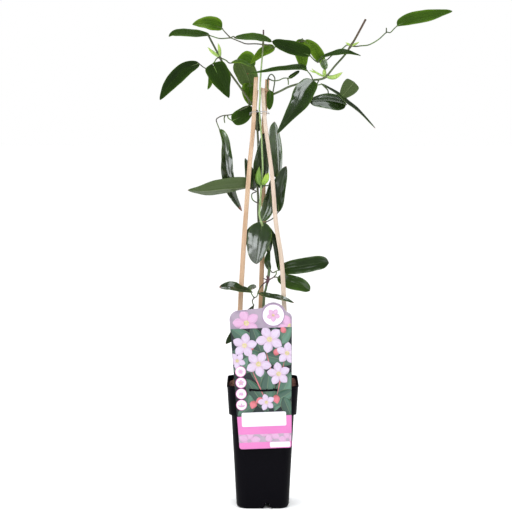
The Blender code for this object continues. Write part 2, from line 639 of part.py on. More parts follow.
def channel_prism(name, along_x, margin, low, length, collection):
    """A bar with the drain channel's section, widened by the margin. The channel from front to back
    lies right of the middle."""
    foot = CHANNEL_FOOT / 2 + margin
    crown = CHANNEL_CROWN / 2 + margin
    top = CHANNEL_HEIGHT + margin
    section = [(-foot, low), (foot, low), (crown, top), (-crown, top)]
    shape = bmesh.new()
    ends = []
    for reach in (-length / 2, length / 2):
        if along_x:
            places = [(reach, side, high) for side, high in section]
        else:
            places = [(side + CHANNEL_SHIFT, reach, high) for side, high in section]
        ends.append([shape.verts.new(Vector(place) * MM) for place in places])
    shape.faces.new(ends[0])
    shape.faces.new(ends[1])
    for k in range(4):
        after = (k + 1) % 4
        shape.faces.new((ends[0][k], ends[0][after], ends[1][after], ends[1][k]))
    bmesh.ops.recalc_face_normals(shape, faces=shape.faces)
    mesh = bpy.data.meshes.new(name)
    shape.to_mesh(mesh)
    shape.free()
    return link_object(name, mesh, collection)


def hide_helper(obj):
    obj.hide_render = True
    obj.display_type = "WIRE"


def apply_boolean(obj, other, operation):
    modifier = obj.modifiers.new(operation.title(), "BOOLEAN")
    modifier.operation = operation
    modifier.object = other
    hide_helper(other)


def bar_outline(margin, turn=0.0):
    """The toothed bar's outline about its own center, grown by the margin and turned."""
    reach = BAR_HALF_LENGTH + margin
    inner = BAR_HALF_LENGTH - BAR_END_LENGTH - margin
    upper = [(-reach, 0.0), (-inner, 0.0)]
    for place in TOOTH_PLACES:
        left = place - TOOTH_HALF - margin / 2
        right = place + TOOTH_HALF + margin / 2
        upper += [(left, 0.0), (left, TOOTH_HEIGHT), (right, TOOTH_HEIGHT), (right, 0.0)]
    upper += [(reach, 0.0)]
    lower = [(reach, -BAR_END_FLARE), (inner, -BAR_END_FLARE), (inner, 0.0)]
    lower += [(inner * k / 4, 0.0) for k in (2, 0, -2)]
    lower += [(-inner, 0.0), (-inner, -BAR_END_FLARE), (-reach, -BAR_END_FLARE)]
    points = [(x, z + BAR_HEIGHT / 2 + margin) for x, z in upper]
    points += [(x, z - BAR_HEIGHT / 2 - margin) for x, z in lower]
    outline = []
    for x, z in points:
        z += BAR_SAG * (2 * (x / BAR_HALF_LENGTH) ** 2 - 1)
        outline.append((x * math.cos(turn) + z * math.sin(turn), z * math.cos(turn) - x * math.sin(turn)))
    return outline


def arc(center, radius, start, end, steps):
    """Points on a circle's arc, angles in degrees."""
    points = []
    for k in range(steps + 1):
        angle = math.radians(start + (end - start) * k / steps)
        points.append((center[0] + radius * math.cos(angle), center[1] + radius * math.sin(angle)))
    return points


def card_outline():
    """The card's outline about its slot, anticlockwise from the lower left corner."""
    low = CARD_CORNER_BOTTOM
    left = CARD_CORNER_LEFT
    right = CARD_CORNER_RIGHT
    points = arc((-CARD_HALF_BOTTOM + low, CARD_BOTTOM + low), low, 180, 270, 4)
    points += arc((CARD_HALF_BOTTOM - low, CARD_BOTTOM + low), low, 270, 360, 4)
    points += arc((CARD_HALF_TOP - right, CARD_TOP - 6.0 - right), right, 0, 65, 4)
    entry = math.degrees(math.asin((CARD_TOP - 3.5 - BULGE_CENTER[1]) / BULGE_RADIUS))
    leave = math.degrees(math.asin((CARD_TOP + 1.5 - BULGE_CENTER[1]) / BULGE_RADIUS))
    points += arc(BULGE_CENTER, BULGE_RADIUS, entry, 180 - leave, 12)
    points += arc((-CARD_HALF_TOP + left, CARD_TOP - 1.0 - left), left, 95, 180, 5)
    return points


def flat_plate(name, outlines, thick, collection):
    """A plate in the XZ plane from closed outlines, the later ones holes, centered on y = 0."""
    curve = bpy.data.curves.new(name, "CURVE")
    curve.dimensions = "2D"
    curve.fill_mode = "BOTH"
    curve.extrude = thick / 2 * MM
    for outline in outlines:
        spline = curve.splines.new("POLY")
        spline.points.add(len(outline) - 1)
        for point, (x, y) in zip(spline.points, outline):
            point.co = (x * MM, y * MM, 0.0, 1.0)
        spline.use_cyclic_u = True
    guide = link_object(name + "_guide", curve, collection)
    guide.rotation_euler = (math.radians(90), 0.0, 0.0)
    bpy.context.view_layer.update()
    graph = bpy.context.evaluated_depsgraph_get()
    mesh = bpy.data.meshes.new_from_object(guide.evaluated_get(graph))
    mesh.transform(guide.matrix_world)
    bpy.data.objects.remove(guide)
    bpy.data.curves.remove(curve)
    shape = bmesh.new()
    shape.from_mesh(mesh)
    bmesh.ops.remove_doubles(shape, verts=shape.verts, dist=0.00002)
    bmesh.ops.recalc_face_normals(shape, faces=shape.faces)
    shape.to_mesh(mesh)
    shape.free()
    return link_object(name, mesh, collection)


def pot_inner(gap):
    """The rings of the pot's inside, from the floor up, drawn in by a gap."""
    inset = POT_WALL + gap
    rings = [(POT_FLOOR + gap, POT_OUTER[1][1] - inset, 15.5)]
    rings.append((5.0, POT_OUTER[2][1] - inset, 16.3))
    rings.append((85.0, POT_OUTER[3][1] - inset, 15.3))
    rings.append((COLLAR_BOTTOM + POT_WALL + gap, POT_OUTER[4][1] - inset + 0.05, 14.3))
    rings.append((COLLAR_BOTTOM + POT_WALL + gap + 0.2, POT_OUTER[5][1] - inset, 13.3))
    return rings


def build_pot(collection, cutters):
    shape = bmesh.new()
    rim = (POT_HEIGHT, COLLAR_TOP_HALF - POT_WALL + 0.1, 12.3)
    add_loft(shape, [*POT_OUTER, rim, *reversed(pot_inner(0.0))])
    bmesh.ops.recalc_face_normals(shape, faces=shape.faces)
    mesh = bpy.data.meshes.new("pot")
    shape.to_mesh(mesh)
    shape.free()
    pot = link_object("pot", mesh, collection)
    inside = 2 * (POT_OUTER[2][1] - POT_WALL / 2)
    through = 3 * POT_OUTER[2][1]
    for along_x in (True, False):
        ridge = channel_prism(f"ridge_{along_x}", along_x, POT_WALL, RIDGE_LOW, inside, cutters)
        apply_boolean(pot, ridge, "UNION")
    for along_x in (True, False):
        channel = channel_prism(f"channel_{along_x}", along_x, 0.0, -1.0, through, cutters)
        apply_boolean(pot, channel, "DIFFERENCE")
    for x in (-DRAIN_OFFSET, DRAIN_OFFSET):
        for y in (-DRAIN_OFFSET, DRAIN_OFFSET):
            shape = bmesh.new()
            bmesh.ops.create_cone(
                shape, cap_ends=True, segments=12, radius1=DRAIN_RADIUS * MM, radius2=DRAIN_RADIUS * MM,
                depth=6 * MM,
            )
            bmesh.ops.translate(shape, verts=shape.verts, vec=Vector((x, y, 0)) * MM)
            mesh = bpy.data.meshes.new("drain")
            shape.to_mesh(mesh)
            shape.free()
            apply_boolean(pot, link_object("drain", mesh, cutters), "DIFFERENCE")
    bar = flat_plate("label_bar", [bar_outline(0.0)], BAR_BACK - BAR_FRONT, cutters)
    middle_x, middle_z = CARD_SLOT_CENTER
    bar.location = Vector((middle_x, (BAR_FRONT + BAR_BACK) / 2, middle_z)) * MM
    apply_boolean(pot, bar, "UNION")
    return pot


def build_label(collection):
    slot = bar_outline(SLOT_MARGIN, CARD_TILT)
    plate = flat_plate("label", [card_outline(), slot], CARD_THICK, collection)
    middle_x, middle_z = CARD_SLOT_CENTER
    plate.location = Vector((middle_x, CARD_PLANE, middle_z)) * MM
    plate.rotation_euler = (0.0, -CARD_TILT, 0.0)
    return plate


def build_soil(collection, cutters):
    """The mix: a block that fills the pot, with a lumpy top."""
    rings = pot_inner(GAP)
    top_half = COLLAR_TOP_HALF - POT_WALL - GAP - 0.9
    shape = bmesh.new()
    add_loft(shape, [*rings, (SOIL_TOP - 4.0, top_half, 12.5)])
    bmesh.ops.recalc_face_normals(shape, faces=shape.faces)
    mesh = bpy.data.meshes.new("soil")
    shape.to_mesh(mesh)
    shape.free()
    soil = link_object("soil", mesh, collection)

    dice = random.Random(7)
    crust_half = top_half - 1.0
    shape = bmesh.new()
    bmesh.ops.create_grid(shape, x_segments=SOIL_CELLS, y_segments=SOIL_CELLS, size=crust_half * MM)
    for vert in shape.verts:
        border = max(abs(vert.co.x), abs(vert.co.y)) > crust_half * MM * 0.98
        corner = min(abs(vert.co.x), abs(vert.co.y)) > crust_half * MM * 0.75
        vert.co.z = SOIL_TOP * MM
        if not border:
            vert.co.x += dice.uniform(-1.6, 1.6) * MM
            vert.co.y += dice.uniform(-1.6, 1.6) * MM
            vert.co.z += dice.uniform(-SOIL_LUMP, SOIL_LUMP) * MM
        if border or corner:
            vert.co.z -= 2.0 * MM
        if corner:
            vert.co.x *= 0.93
            vert.co.y *= 0.93
    bmesh.ops.triangulate(shape, faces=shape.faces)
    skin = shape.faces[:]
    lifted = bmesh.ops.extrude_face_region(shape, geom=skin)
    for item in lifted["geom"]:
        if isinstance(item, bmesh.types.BMVert):
            item.co.z = (SOIL_TOP - 12.0) * MM
    bmesh.ops.recalc_face_normals(shape, faces=shape.faces)
    mesh = bpy.data.meshes.new("crust")
    shape.to_mesh(mesh)
    shape.free()
    apply_boolean(soil, link_object("crust", mesh, cutters), "UNION")
    for along_x in (True, False):
        groove = channel_prism(f"groove_{along_x}", along_x, POT_WALL + GAP, RIDGE_LOW, 3 * crust_half, cutters)
        apply_boolean(soil, groove, "DIFFERENCE")
    return soil


def hole_cutter(name, points, radius, margin, collection, step, sides):
    """What is buried of a cane or stem, widened by the margin and a little deeper, to cut its hole."""
    route = resampled([placed(point) for point in points], step * MM)
    route[0] += (route[0] - route[1]).normalized() * 0.5 * MM
    buried = [place for place in route if place.z < HOLE_TOP * MM]
    return tube(name, buried, [(radius + margin) * MM] * len(buried), collection, sides)


def build_cane(name, points, halves, collection):
    return stem_tube(name, points, *halves, collection, step=CANE_STEP, sides=0)


def build_split(collection, cane):
    """The second prong of the left cane's split top, joined to the cane."""
    pieces = new_collection("split_pieces")
    stem_tube("split_prong", SPLIT_PRONG, SPLIT_HALF, SPLIT_HALF * 0.8, pieces, step=30.0, sides=4)
    return joined("cane_left", cane, pieces, collection)


def center_on_box(parts, root):
    """Moves the root so that the box of all parts is centered on the axis."""
    bpy.context.view_layer.update()
    graph = bpy.context.evaluated_depsgraph_get()
    corners = []
    for part in parts:
        seen = part.evaluated_get(graph)
        corners += [seen.matrix_world @ Vector(corner) for corner in seen.bound_box]
    for axis in (0, 1):
        values = [corner[axis] for corner in corners]
        root.location[axis] = -(min(values) + max(values)) / 2
    bpy.context.view_layer.update()


def main():
    clear_scene()
    collection = new_collection("potted_clematis")
    cutters = new_collection("cutters")
    parts = {"pot": build_pot(collection, cutters), "soil": build_soil(collection, cutters)}
    for name, (points, halves) in CANES.items():
        parts[name] = build_cane(name, points, halves, collection)
        hole = hole_cutter(name + "_hole", points, halves[0], GAP, cutters, CANE_STEP, 0)
        apply_boolean(parts["soil"], hole, "DIFFERENCE")
    parts["cane_left"] = build_split(collection, parts["cane_left"])
    parts["tie_wire"] = stem_tube("tie_wire", TIE_ROUTE, TIE_RADIUS, TIE_RADIUS, collection, 5.0, sides=6)
    parts["label"] = build_label(collection)
    for name, vine in (("vine_center", VINE_CENTER), ("vine_left", VINE_LEFT), ("vine_right", VINE_RIGHT)):
        parts[name] = build_vine(name, vine, collection)
        radius = vine["radii"][0]
        hole = hole_cutter(name + "_hole", vine["stem"], radius, 2 * GAP, cutters, STEM_STEP, 6)
        apply_boolean(parts["soil"], hole, "DIFFERENCE")
    root = bpy.data.objects.new("clematis_root", None)
    collection.objects.link(root)
    for name, part in parts.items():
        part.data.materials.clear()
        part.data.materials.append(new_material(name))
        part.parent = root
    for cutter in cutters.objects:
        cutter.parent = root
    center_on_box(parts.values(), root)


main()
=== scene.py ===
"""The looks of a potted climbing clematis: fine leaves, shoots, canes, card, mix and pot.

Lengths in the tables are millimetres, as the solids have them, and the scene is in metres. +Z is up, and
the front with the card faces -Y.
"""

import math
import random

import bmesh
import bpy
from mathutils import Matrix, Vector, noise


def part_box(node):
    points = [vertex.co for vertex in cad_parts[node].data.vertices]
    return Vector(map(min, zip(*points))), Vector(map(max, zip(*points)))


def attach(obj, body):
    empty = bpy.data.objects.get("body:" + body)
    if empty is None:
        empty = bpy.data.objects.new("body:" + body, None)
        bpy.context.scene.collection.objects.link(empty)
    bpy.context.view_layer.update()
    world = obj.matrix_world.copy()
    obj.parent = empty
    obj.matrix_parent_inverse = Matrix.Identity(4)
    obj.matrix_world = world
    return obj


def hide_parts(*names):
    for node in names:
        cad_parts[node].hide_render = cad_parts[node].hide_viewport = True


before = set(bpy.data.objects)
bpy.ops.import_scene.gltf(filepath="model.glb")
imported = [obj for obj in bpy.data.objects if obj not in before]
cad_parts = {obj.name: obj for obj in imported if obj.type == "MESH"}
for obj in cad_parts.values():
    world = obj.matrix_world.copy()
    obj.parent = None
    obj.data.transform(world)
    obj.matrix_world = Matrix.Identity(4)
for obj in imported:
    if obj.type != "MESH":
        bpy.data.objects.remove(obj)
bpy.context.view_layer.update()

MM = 0.001

# The pot's axis stands behind its front by the rim's half width and the toothed bar
RIM_HALF = 55.0
POT_LOW, POT_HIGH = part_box("pot")
AXIS = Vector(((POT_LOW.x + POT_HIGH.x) / 2, POT_HIGH.y - RIM_HALF * MM, 0.0))

# The eye: the tables give x and height as they appear on the upright plane through the pot's axis,
# and a depth; placed() slides a point along its sight line to that depth
EYE_X = -10.3
EYE_DISTANCE = 2390.0
EYE_HEIGHT = 600.0
EYE_PITCH = math.radians(5.1)
LENS = 109.5
SENSOR = 36.0

# A leaflet's blade: its grid of stations along and reaches across, thickness, veins and ruffled edge
BLADE_STATIONS = 60
HALF_REACHES = (0.03, 0.07, 0.14, 0.24, 0.34, 0.40, 0.46, 0.53, 0.63, 0.74, 0.84, 0.92, 0.975, 1.0)
BLADE_REACHES = (*(-reach for reach in reversed(HALF_REACHES)), 0.0, *HALF_REACHES)
BLADE_THICK = 0.75
EDGE_THICK = 0.45
SIDE_VEIN = 0.43
VEIN_ARCH = 0.012
RUFFLE = 0.75
MIDRIB_HEIGHT = 0.45
MIDRIB_HALF = 0.8
SLOPE_REACH = 0.02
RUFFLE_SCALE = 7.0
STALK_HALF = 0.8
TIP_HALF = 0.35
TIP_TAPER = 1.35
YOUNG, SATIN, GLOSSY = range(3)

# Shoots, stalks, the ribs that run from them into the blades, and buds
STEM_SIDES = 24
STEM_STEP = 3.0
STEM_RIBS = 6.0
RIB_WIND = 14.0
RIB_RISE = 0.08
NODE_RADIUS = 2.5
NODE_REACH = 3.2
STALK_SIDES = 12
PETIOLE_STEP = 1.6
PETIOLE_RADII = (1.0, 0.8)
RIB_LENGTH = 14.0
RIB_STEPS = 6
RIB_START = 1.5
RIB_RADII = (0.85, 1.0, 0.38)
BUD_STEP = 0.9
BUD_SCALES = 5.0
CANE_SIDES = 48
CANE_STEP = 4.0
CANE_SQUARENESS = 7
WIRE_STEP = 1.2

FRONT = (0.0, -1.0, 0.0)
FRONT_UP = (0.0, -0.9, 0.42)
CANES = {
    # points from the buried foot to the top, then half thickness at foot and top
    "cane_left": (
        [(-37, 105, -34), (-39, 186, -34), (-35, 301, -27), (-31, 373, -22), (-27, 435, -18),
         (-20, 527, -12), (-15, 580, -8), (-10, 662, -2)],
        (4.2, 3.2),
    ),
    "cane_right": (
        [(37, 105, -34), (39, 186, -34), (33.2, 311, -26), (29, 381, -21), (20.2, 439, -17),
         (15, 504, -13), (9, 551, -10), (5, 580, -8), (2, 609, -6), (0, 646, -4)],
        (4.0, 2.9),
    ),
    "cane_back": (
        [(-2, 105, 26), (-7, 186, 34), (-3, 308, 25), (-1, 377, 21), (2, 436, 17), (1, 485, 14),
         (1, 576, 8), (6, 640, 4), (7, 659, 3)],
        (4.1, 3.2),
    ),
}
SPLIT_PRONG = [(-13, 590, -6), (-11, 612, -4), (-8, 642, -1)]
SPLIT_HALF = 1.9

TIE_ROUTE = [
    (-19.8, 603, -4), (-19.6, 606, -9), (-17.6, 607.2, -11.3), (-13, 607.8, -11.4), (-5, 608, -11.2),
    (2, 608.3, -10.8), (6.4, 607.8, -10.6), (8.7, 606.6, -8.4), (9.8, 605, -3), (9.9, 604.6, 4),
    (8.9, 605, 9.6), (5.6, 605, 11.3), (-3, 605.5, 11.3), (-12, 605.5, 9.8), (-17.2, 605.2, 5.4),
    (-18.4, 604.6, 0.8),
]
TIE_RADIUS = 0.5


def lance(half):
    """A narrow leaflet's half widths at the five measuring places from base to tip."""
    return tuple(half * share for share in (0.5, 0.92, 1.0, 0.76, 0.38))


def oval(half):
    """A broader leaflet's half widths."""
    return tuple(half * share for share in (0.62, 0.96, 1.0, 0.86, 0.52))


def leaf(route, left, right=None, face=FRONT, tip_face=None, fold=12, wave=(0.0, 0, 0.0), lobe=0.0,
         green=0.36, burn=0.0, lime=0.0, skin=YOUNG):
    """A leaflet: its midrib from base to tip; half widths of its left and right side, seen on the upper
    face with the tip up; the way that face looks at base and tip; the fold at the midrib in degrees; the
    wave of its edge (height, count, phase); how far its base lobes reach behind its stalk's end; how young
    its green is (0 dark, 1 lime); the share of its length that is burnt brown at the tip; how lime its
    base is; and which of the three skins it has."""
    return {
        "route": route, "left": left, "right": right or left, "face": face, "tip_face": tip_face or face,
        "fold": fold, "wave": wave, "lobe": lobe, "look": (green, burn, lime), "skin": skin,
    }


VINE_CENTER = {
    "stem": [ (0, 110, 4), (0, 186, 4), (1, 311, -6), (5, 336, -10), (8, 349, -12), (10, 360, -11),
        (10, 373, -9), (10, 394, -4), (5, 418, -2), (-1, 436, -6), (-5, 450, -8), (-4, 467, -8),
        (-3, 482, -8), (-2, 498, -8), (0, 519, -8), (-1, 547, -8), (-2, 570, -7), (-4, 595, -6),
        (-5, 611, -6), (-4, 632, -8), (-4, 649, -10), (-2, 678, -10), (0, 701, -8), (1, 724, -6),
        (1, 732, -5)],
    "radii": (1.9, 1.1),
    "nodes": [(8, 349, -12), (-1, 436, -6), (-4, 467, -8), (-2, 498, -8), (-4, 595, -6), (0, 710, -7)],
    "petioles": [
        [(0, 710, -7), (-11, 711, -10), (-25, 711, -13), (-34, 714, -13), (-44, 718, -11), (-49, 720, -10)],
        [(-49, 720, -10), (-56, 727, -11), (-62, 734, -12)],
        [(-49, 720, -10), (-65, 719, -6), (-76, 722, -2), (-82, 724, 0)],
        [(-49, 720, -10), (-45, 722, -13), (-42, 721, -16)],
        [(0, 710, -7), (9, 709, -4), (16, 706, 0), (38, 709, 6), (54, 714, 8), (63, 715, 8)],
        [(-4, 467, -8), (-9, 469, -7), (-15, 473, -6), (-17, 478, -5), (-16, 483, -5), (-10, 486, -4),
         (-14, 489, -4), (-20, 493, -4)],
        [(-2, 498, -8), (5, 495, -3), (14, 498, 1), (22, 507, 2)],
        [(-1, 436, -6), (5, 439, -5), (16, 445, -4), (24, 455, -5)],
        [(8, 349, -12), (12, 351, -12), (17, 354, -12), (21, 359, -12), (21, 363, -12), (25, 365, -12)],
        [(17, 354, -12), (21, 354, -12), (24, 353, -12)],
        [(21, 363, -12), (15, 361, -11), (11, 366, -10)],
        [(8, 349, -12), (4, 346, -13), (-3, 339, -15), (-7, 331, -16), (-9, 324, -17), (-13, 322, -18)],
        [(-7, 331, -16), (-6, 329, -22)],
        [(-13, 322, -18), (-16, 317, -19), (-14, 310, -22)],
        [(-13, 322, -18), (-16, 326, -22), (-19, 332, -27)],
        [(8, 349, -12), (6, 356, -14)],
        [(8, 349, -12), (1, 352, -15)],
        [(8, 349, -13), (8, 345, -15.5), (6.8, 340, -17)],
    ],
    "leaves": {
        "crown_left": leaf([(-62, 734, -12), (-83, 741, -20), (-107, 740, -30)], (4.5, 9, 12.5, 8.5, 3.5),
            (9, 14, 12.5, 8.5, 4), (0, -0.85, 0.5), green=0.88),
        "crown_far_left": leaf([(-82, 724, 0), (-102, 725, 7), (-122, 726.5, 13), (-136, 726, 17),
            (-143, 722, 20)], (5.5, 10, 10.5, 8.5, 4), face=(0, -0.6, 0.8), green=0.60),
        "crown_middle": leaf([(-42, 720, -16), (-16, 720.5, -20), (1, 718, -22), (13.5, 714, -24)],
            (5, 9, 9.4, 7.6, 4), face=(0, -0.6, 0.8), green=0.62),
        "crown_inner": leaf([(18, 706, 2), (-1, 698, 2), (-19, 680.5, -5)], (4.5, 7.5, 7.2, 4.8, 2.2),
            face=(0, -1, 0.2), green=0.93, burn=0.01),
        "crown_tip": leaf([(63, 715, 8), (77, 705, 8), (86.5, 692, 7), (88, 682, 6)], (5, 8, 8.6, 8, 6),
            (5, 9, 10, 9, 6), (0, -1, 0.2), green=0.90, lime=0.1),
        "crown_hanging": leaf([(60, 718, 9), (58, 705, 10), (60, 690, 11), (62, 671, 10)],
            (6.5, 10.5, 11, 9, 5), green=0.90),
        "mid_underside": leaf([(-19, 493, -4), (-35, 491.5, -8), (-66, 489, -15), (-88, 487, -21),
            (-115, 488, -28)], (13, 17, 15.5, 12.5, 5), (3, 7, 17.5, 16, 8), (0, 0.86, 0.52), fold=31,
            green=0.46, burn=0.02, skin=SATIN),
        "mid_behind_cane": leaf([(-15, 489, -3), (-19, 512, -2), (-27, 537, -2)], (5, 8.5, 8.4, 5.5, 2.5),
            fold=10, green=0.35, burn=0.03, skin=SATIN),
        "mid_upright": leaf([(-3, 491, -6), (-2, 527, 0), (2, 576, 1)], (6, 11, 13, 9, 5), (6, 11, 12, 9, 5),
            fold=18, green=0.35, burn=0.03, skin=GLOSSY),
        "mid_right": leaf([(22, 507, 2), (20, 550, 3), (18, 593, 1)], (5, 9, 11, 11, 7), (5, 9, 10.2, 8, 4),
            fold=16, green=0.60, burn=0.02, skin=GLOSSY),
        "mid_outer": leaf([(24, 455, -5), (26.5, 488, -3), (36, 525, -6)], (7, 12.5, 14, 11, 6),
            (4, 8, 8.5, 7, 3.5), wave=(1.2, 2, 0.4), green=0.34, burn=0.03, skin=SATIN),
        "mid_folded": leaf([(-2, 441, -7), (6.5, 461, -4), (10.5, 481, -3), (12.5, 504, -3)],
            (5, 8.5, 9, 6, 3), (7, 11, 10, 6, 3), (0.1, -1, 0.1), fold=22, green=0.42, burn=0.04, lime=0.1,
            skin=GLOSSY),
        "hanging_front": leaf([(-1, 437, -6), (-5.5, 408, -9.5), (-10, 374, -9)], (10, 17.5, 16.5, 12, 6),
            (10, 18, 19, 16, 9), (0, -1, 0.1), fold=8, lobe=2.0, green=0.36, burn=0.02, skin=GLOSSY),
        "hanging_left": leaf([(-2, 438, -6), (-19, 424, 0), (-24, 402, 1)], lance(6), green=0.30, burn=0.03,
            skin=GLOSSY),
        "hanging_edge": leaf([(-1, 436, -5), (7, 415, 3), (9, 391, 3)], oval(7.5), face=(0.3, -0.9, 0),
            green=0.34, burn=0.04, skin=SATIN),
        "hanging_right": leaf([(25, 365, -12), (20, 404, -7), (8, 434, 0)], lance(6), face=(0.5, -0.85, 0),
            green=0.30, burn=0.03, skin=SATIN),
        "low_upright": leaf([(11, 365, -10), (7, 379, -11), (10, 396, -7)], lance(4.8), green=0.35,
            burn=0.04, skin=SATIN),
        "low_right": leaf([(26, 366, -12), (45, 369, -15), (65, 372, -21), (85, 375.5, -29),
            (102, 376, -36)], (7, 11, 12, 11.5, 9), face=(0.1, -0.95, 0.3), fold=8, green=0.36, burn=0.02,
            lime=0.1, skin=SATIN),
        "low_right_under": leaf([(23, 353, -12), (43, 346.5, -12), (60, 341.5, -18), (73, 333, -26)],
            (6, 10.5, 11, 9.5, 6), face=(0, -0.95, 0.2), fold=8, green=0.58, burn=0.02, lime=0.1,
            skin=SATIN),
        "low_front": leaf([(-6, 329, -22), (9, 324.5, -33), (31, 320, -42), (48, 314, -46)], lance(7.5),
            face=(0, -0.4, 1), green=0.34, burn=0.04, skin=GLOSSY),
        "low_curled": leaf([(-19, 332, -27), (-34, 335, -42), (-50, 339, -47), (-67, 338, -49)],
            (6, 7.5, 8, 8, 5), (7, 8.5, 10, 9, 5), (0, -0.65, 0.75), green=0.34, burn=0.08, skin=GLOSSY),
        "low_small": leaf([(-19, 332, -27), (-17, 337, -19), (-10, 338, -9)], oval(6), face=(0, 1, 0.4),
            green=0.40, burn=0.10, skin=GLOSSY),
        "behind_card": leaf([(-14, 310, -22), (-32, 280, -38), (-57, 250, -45)], (2, 6.5, 8.5, 7, 4),
            face=(-0.3, -0.9, 0.2), green=0.30, burn=0.02, skin=SATIN),
    },
    # The bracts at the middle pair: route, half width, how lime, depth share
    "buds": [
        ([(-2, 496.5, -9), (-6.2, 503, -12), (-6.4, 513, -12.5), (-5, 524.5, -12)], 4.5, 0.0, 0.75),
        ([(-0.5, 497, -10), (3, 504, -13), (5.4, 514, -13)], 3.2, 0.9, 0.8),
        ([(0, 497, -10), (6, 504, -13.5), (8.9, 515.5, -13)], 3.3, 1.0, 0.8),
        ([(-1, 497, -9.5), (1.4, 503, -12.5), (2.4, 508.5, -12.8)], 2.6, 0.8, 0.8),
    ],
}

VINE_LEFT = {
    "stem": [ (-10, 110, 40), (-8, 186, 43), (-3, 308, 33), (-1, 377, 28), (0, 402, 26), (-4, 418, 25),
        (-6, 433, 18), (-7, 455, 11), (-7, 476, 7), (-8, 496, 6), (-7, 527, 6), (-7, 559, 6), (-8, 579, 5),
        (-9, 599, 3), (-12, 611, 4), (-15, 618, 4), (-26, 633, 4), (-35, 646, 4), (-50, 667, 5),
        (-62, 684, 6), (-65, 690, 6), (-74, 707, 8), (-83, 724, 10)],
    "radii": (2.1, 1.4),
    "nodes": [(-22, 617, 5), (-65, 690, 6)],
    "petioles": [
        [(-65, 690, 6), (-56, 686, 10), (-51, 682, 14), (-43, 683, 20), (-36, 687, 30)],
        [(-65, 690, 6), (-70, 689, 3), (-74, 683, 1), (-80, 677, 0), (-84, 673, 0), (-91, 676, 1),
         (-97, 681, 2)],
        [(-78, 678, 0), (-76, 678, -2), (-74, 675, -4)],
        [(-22, 625, 4), (-22, 617, 5), (-35, 610, 14), (-47, 604, 14), (-61, 602, 12), (-68, 599, 10),
         (-71, 596, 9), (-70, 591, 8), (-66, 581, 6)],
        [(-54, 603, 13), (-53, 599, 12), (-51, 597, 11), (-46, 594, 10)],
        [(-57, 603, 13), (-59, 598, 12), (-58, 591, 11)],
    ],
    "leaves": {
        "outer": leaf([(-98, 681, 2), (-116, 674, -4), (-131, 661, -11), (-145, 645, -19), (-157, 626, -28)],
            (7, 13, 14.5, 12, 6), (6, 11, 12, 9.5, 4.5), (-0.2, -0.9, 0.4), lobe=1.0, green=0.36, lime=0.05),
        "heart": leaf([(-74, 676, -4), (-63, 653, -8), (-51.5, 629, -8)], (15, 18, 16, 8.5, 3.5),
            (14, 15.5, 12.5, 7.5, 3), (0, -0.95, 0.3), fold=8, lobe=6.0, green=0.40, lime=0.05),
        "heart_small": leaf([(-80, 677, 0), (-80, 653, 2), (-84, 642, 2)], lance(3.5), green=0.85),
        "folded_front": leaf([(-36, 687, 30), (-25, 685, 19), (-14, 676, 6)], (12.5, 17.5, 16, 11, 6),
            (16, 19, 15.5, 10.5, 5.5), (0.05, -0.75, 0.66), fold=18, lobe=5.0, green=0.78, lime=0.1),
        "underside": leaf([(-36, 687, 30), (-25, 666, 36), (-18, 646, 33)], (10, 16, 16.5, 15, 9),
            face=(0, 1, 0.15), fold=8, green=0.85),
        "below_underside": leaf([(-19.5, 652, 34), (-20, 636, 38), (-19, 617, 35)], (10, 12.5, 12, 9, 4),
            green=0.90),
        "below_node": leaf([(-46, 594.5, 10), (-31, 602, 14), (-16, 615.5, 17)], (7, 11, 11.6, 10, 6),
            (8, 12, 12.6, 10, 6), (0, -1, 0.2), lobe=1.0, green=0.52, lime=0.1),
        "long_twisted": leaf([(-66, 581, 6), (-58, 560, 9), (-57, 537, 11), (-54, 511, 12), (-47, 484, 12),
            (-32, 456, 8)], (6, 9, 10.5, 9.5, 5), face=(0.75, -0.65, 0), tip_face=(-0.3, -0.95, 0), fold=24,
            wave=(1.6, 3, 0.0), green=0.34, burn=0.05, lime=0.4, skin=GLOSSY),
        "sheath": leaf([(-12, 611, 6), (-8, 598, 9), (-7, 578, 9)], (3.5, 4.6, 5.0, 5.0, 4.8), fold=20,
            green=0.30),
    },
    "buds": [
        ([(-66, 691, 6), (-77, 699, 6), (-84, 706, 6)], 2.6),
        ([(-65, 692, 6), (-66, 703, 6), (-68, 712, 6)], 2.6),
    ],
}

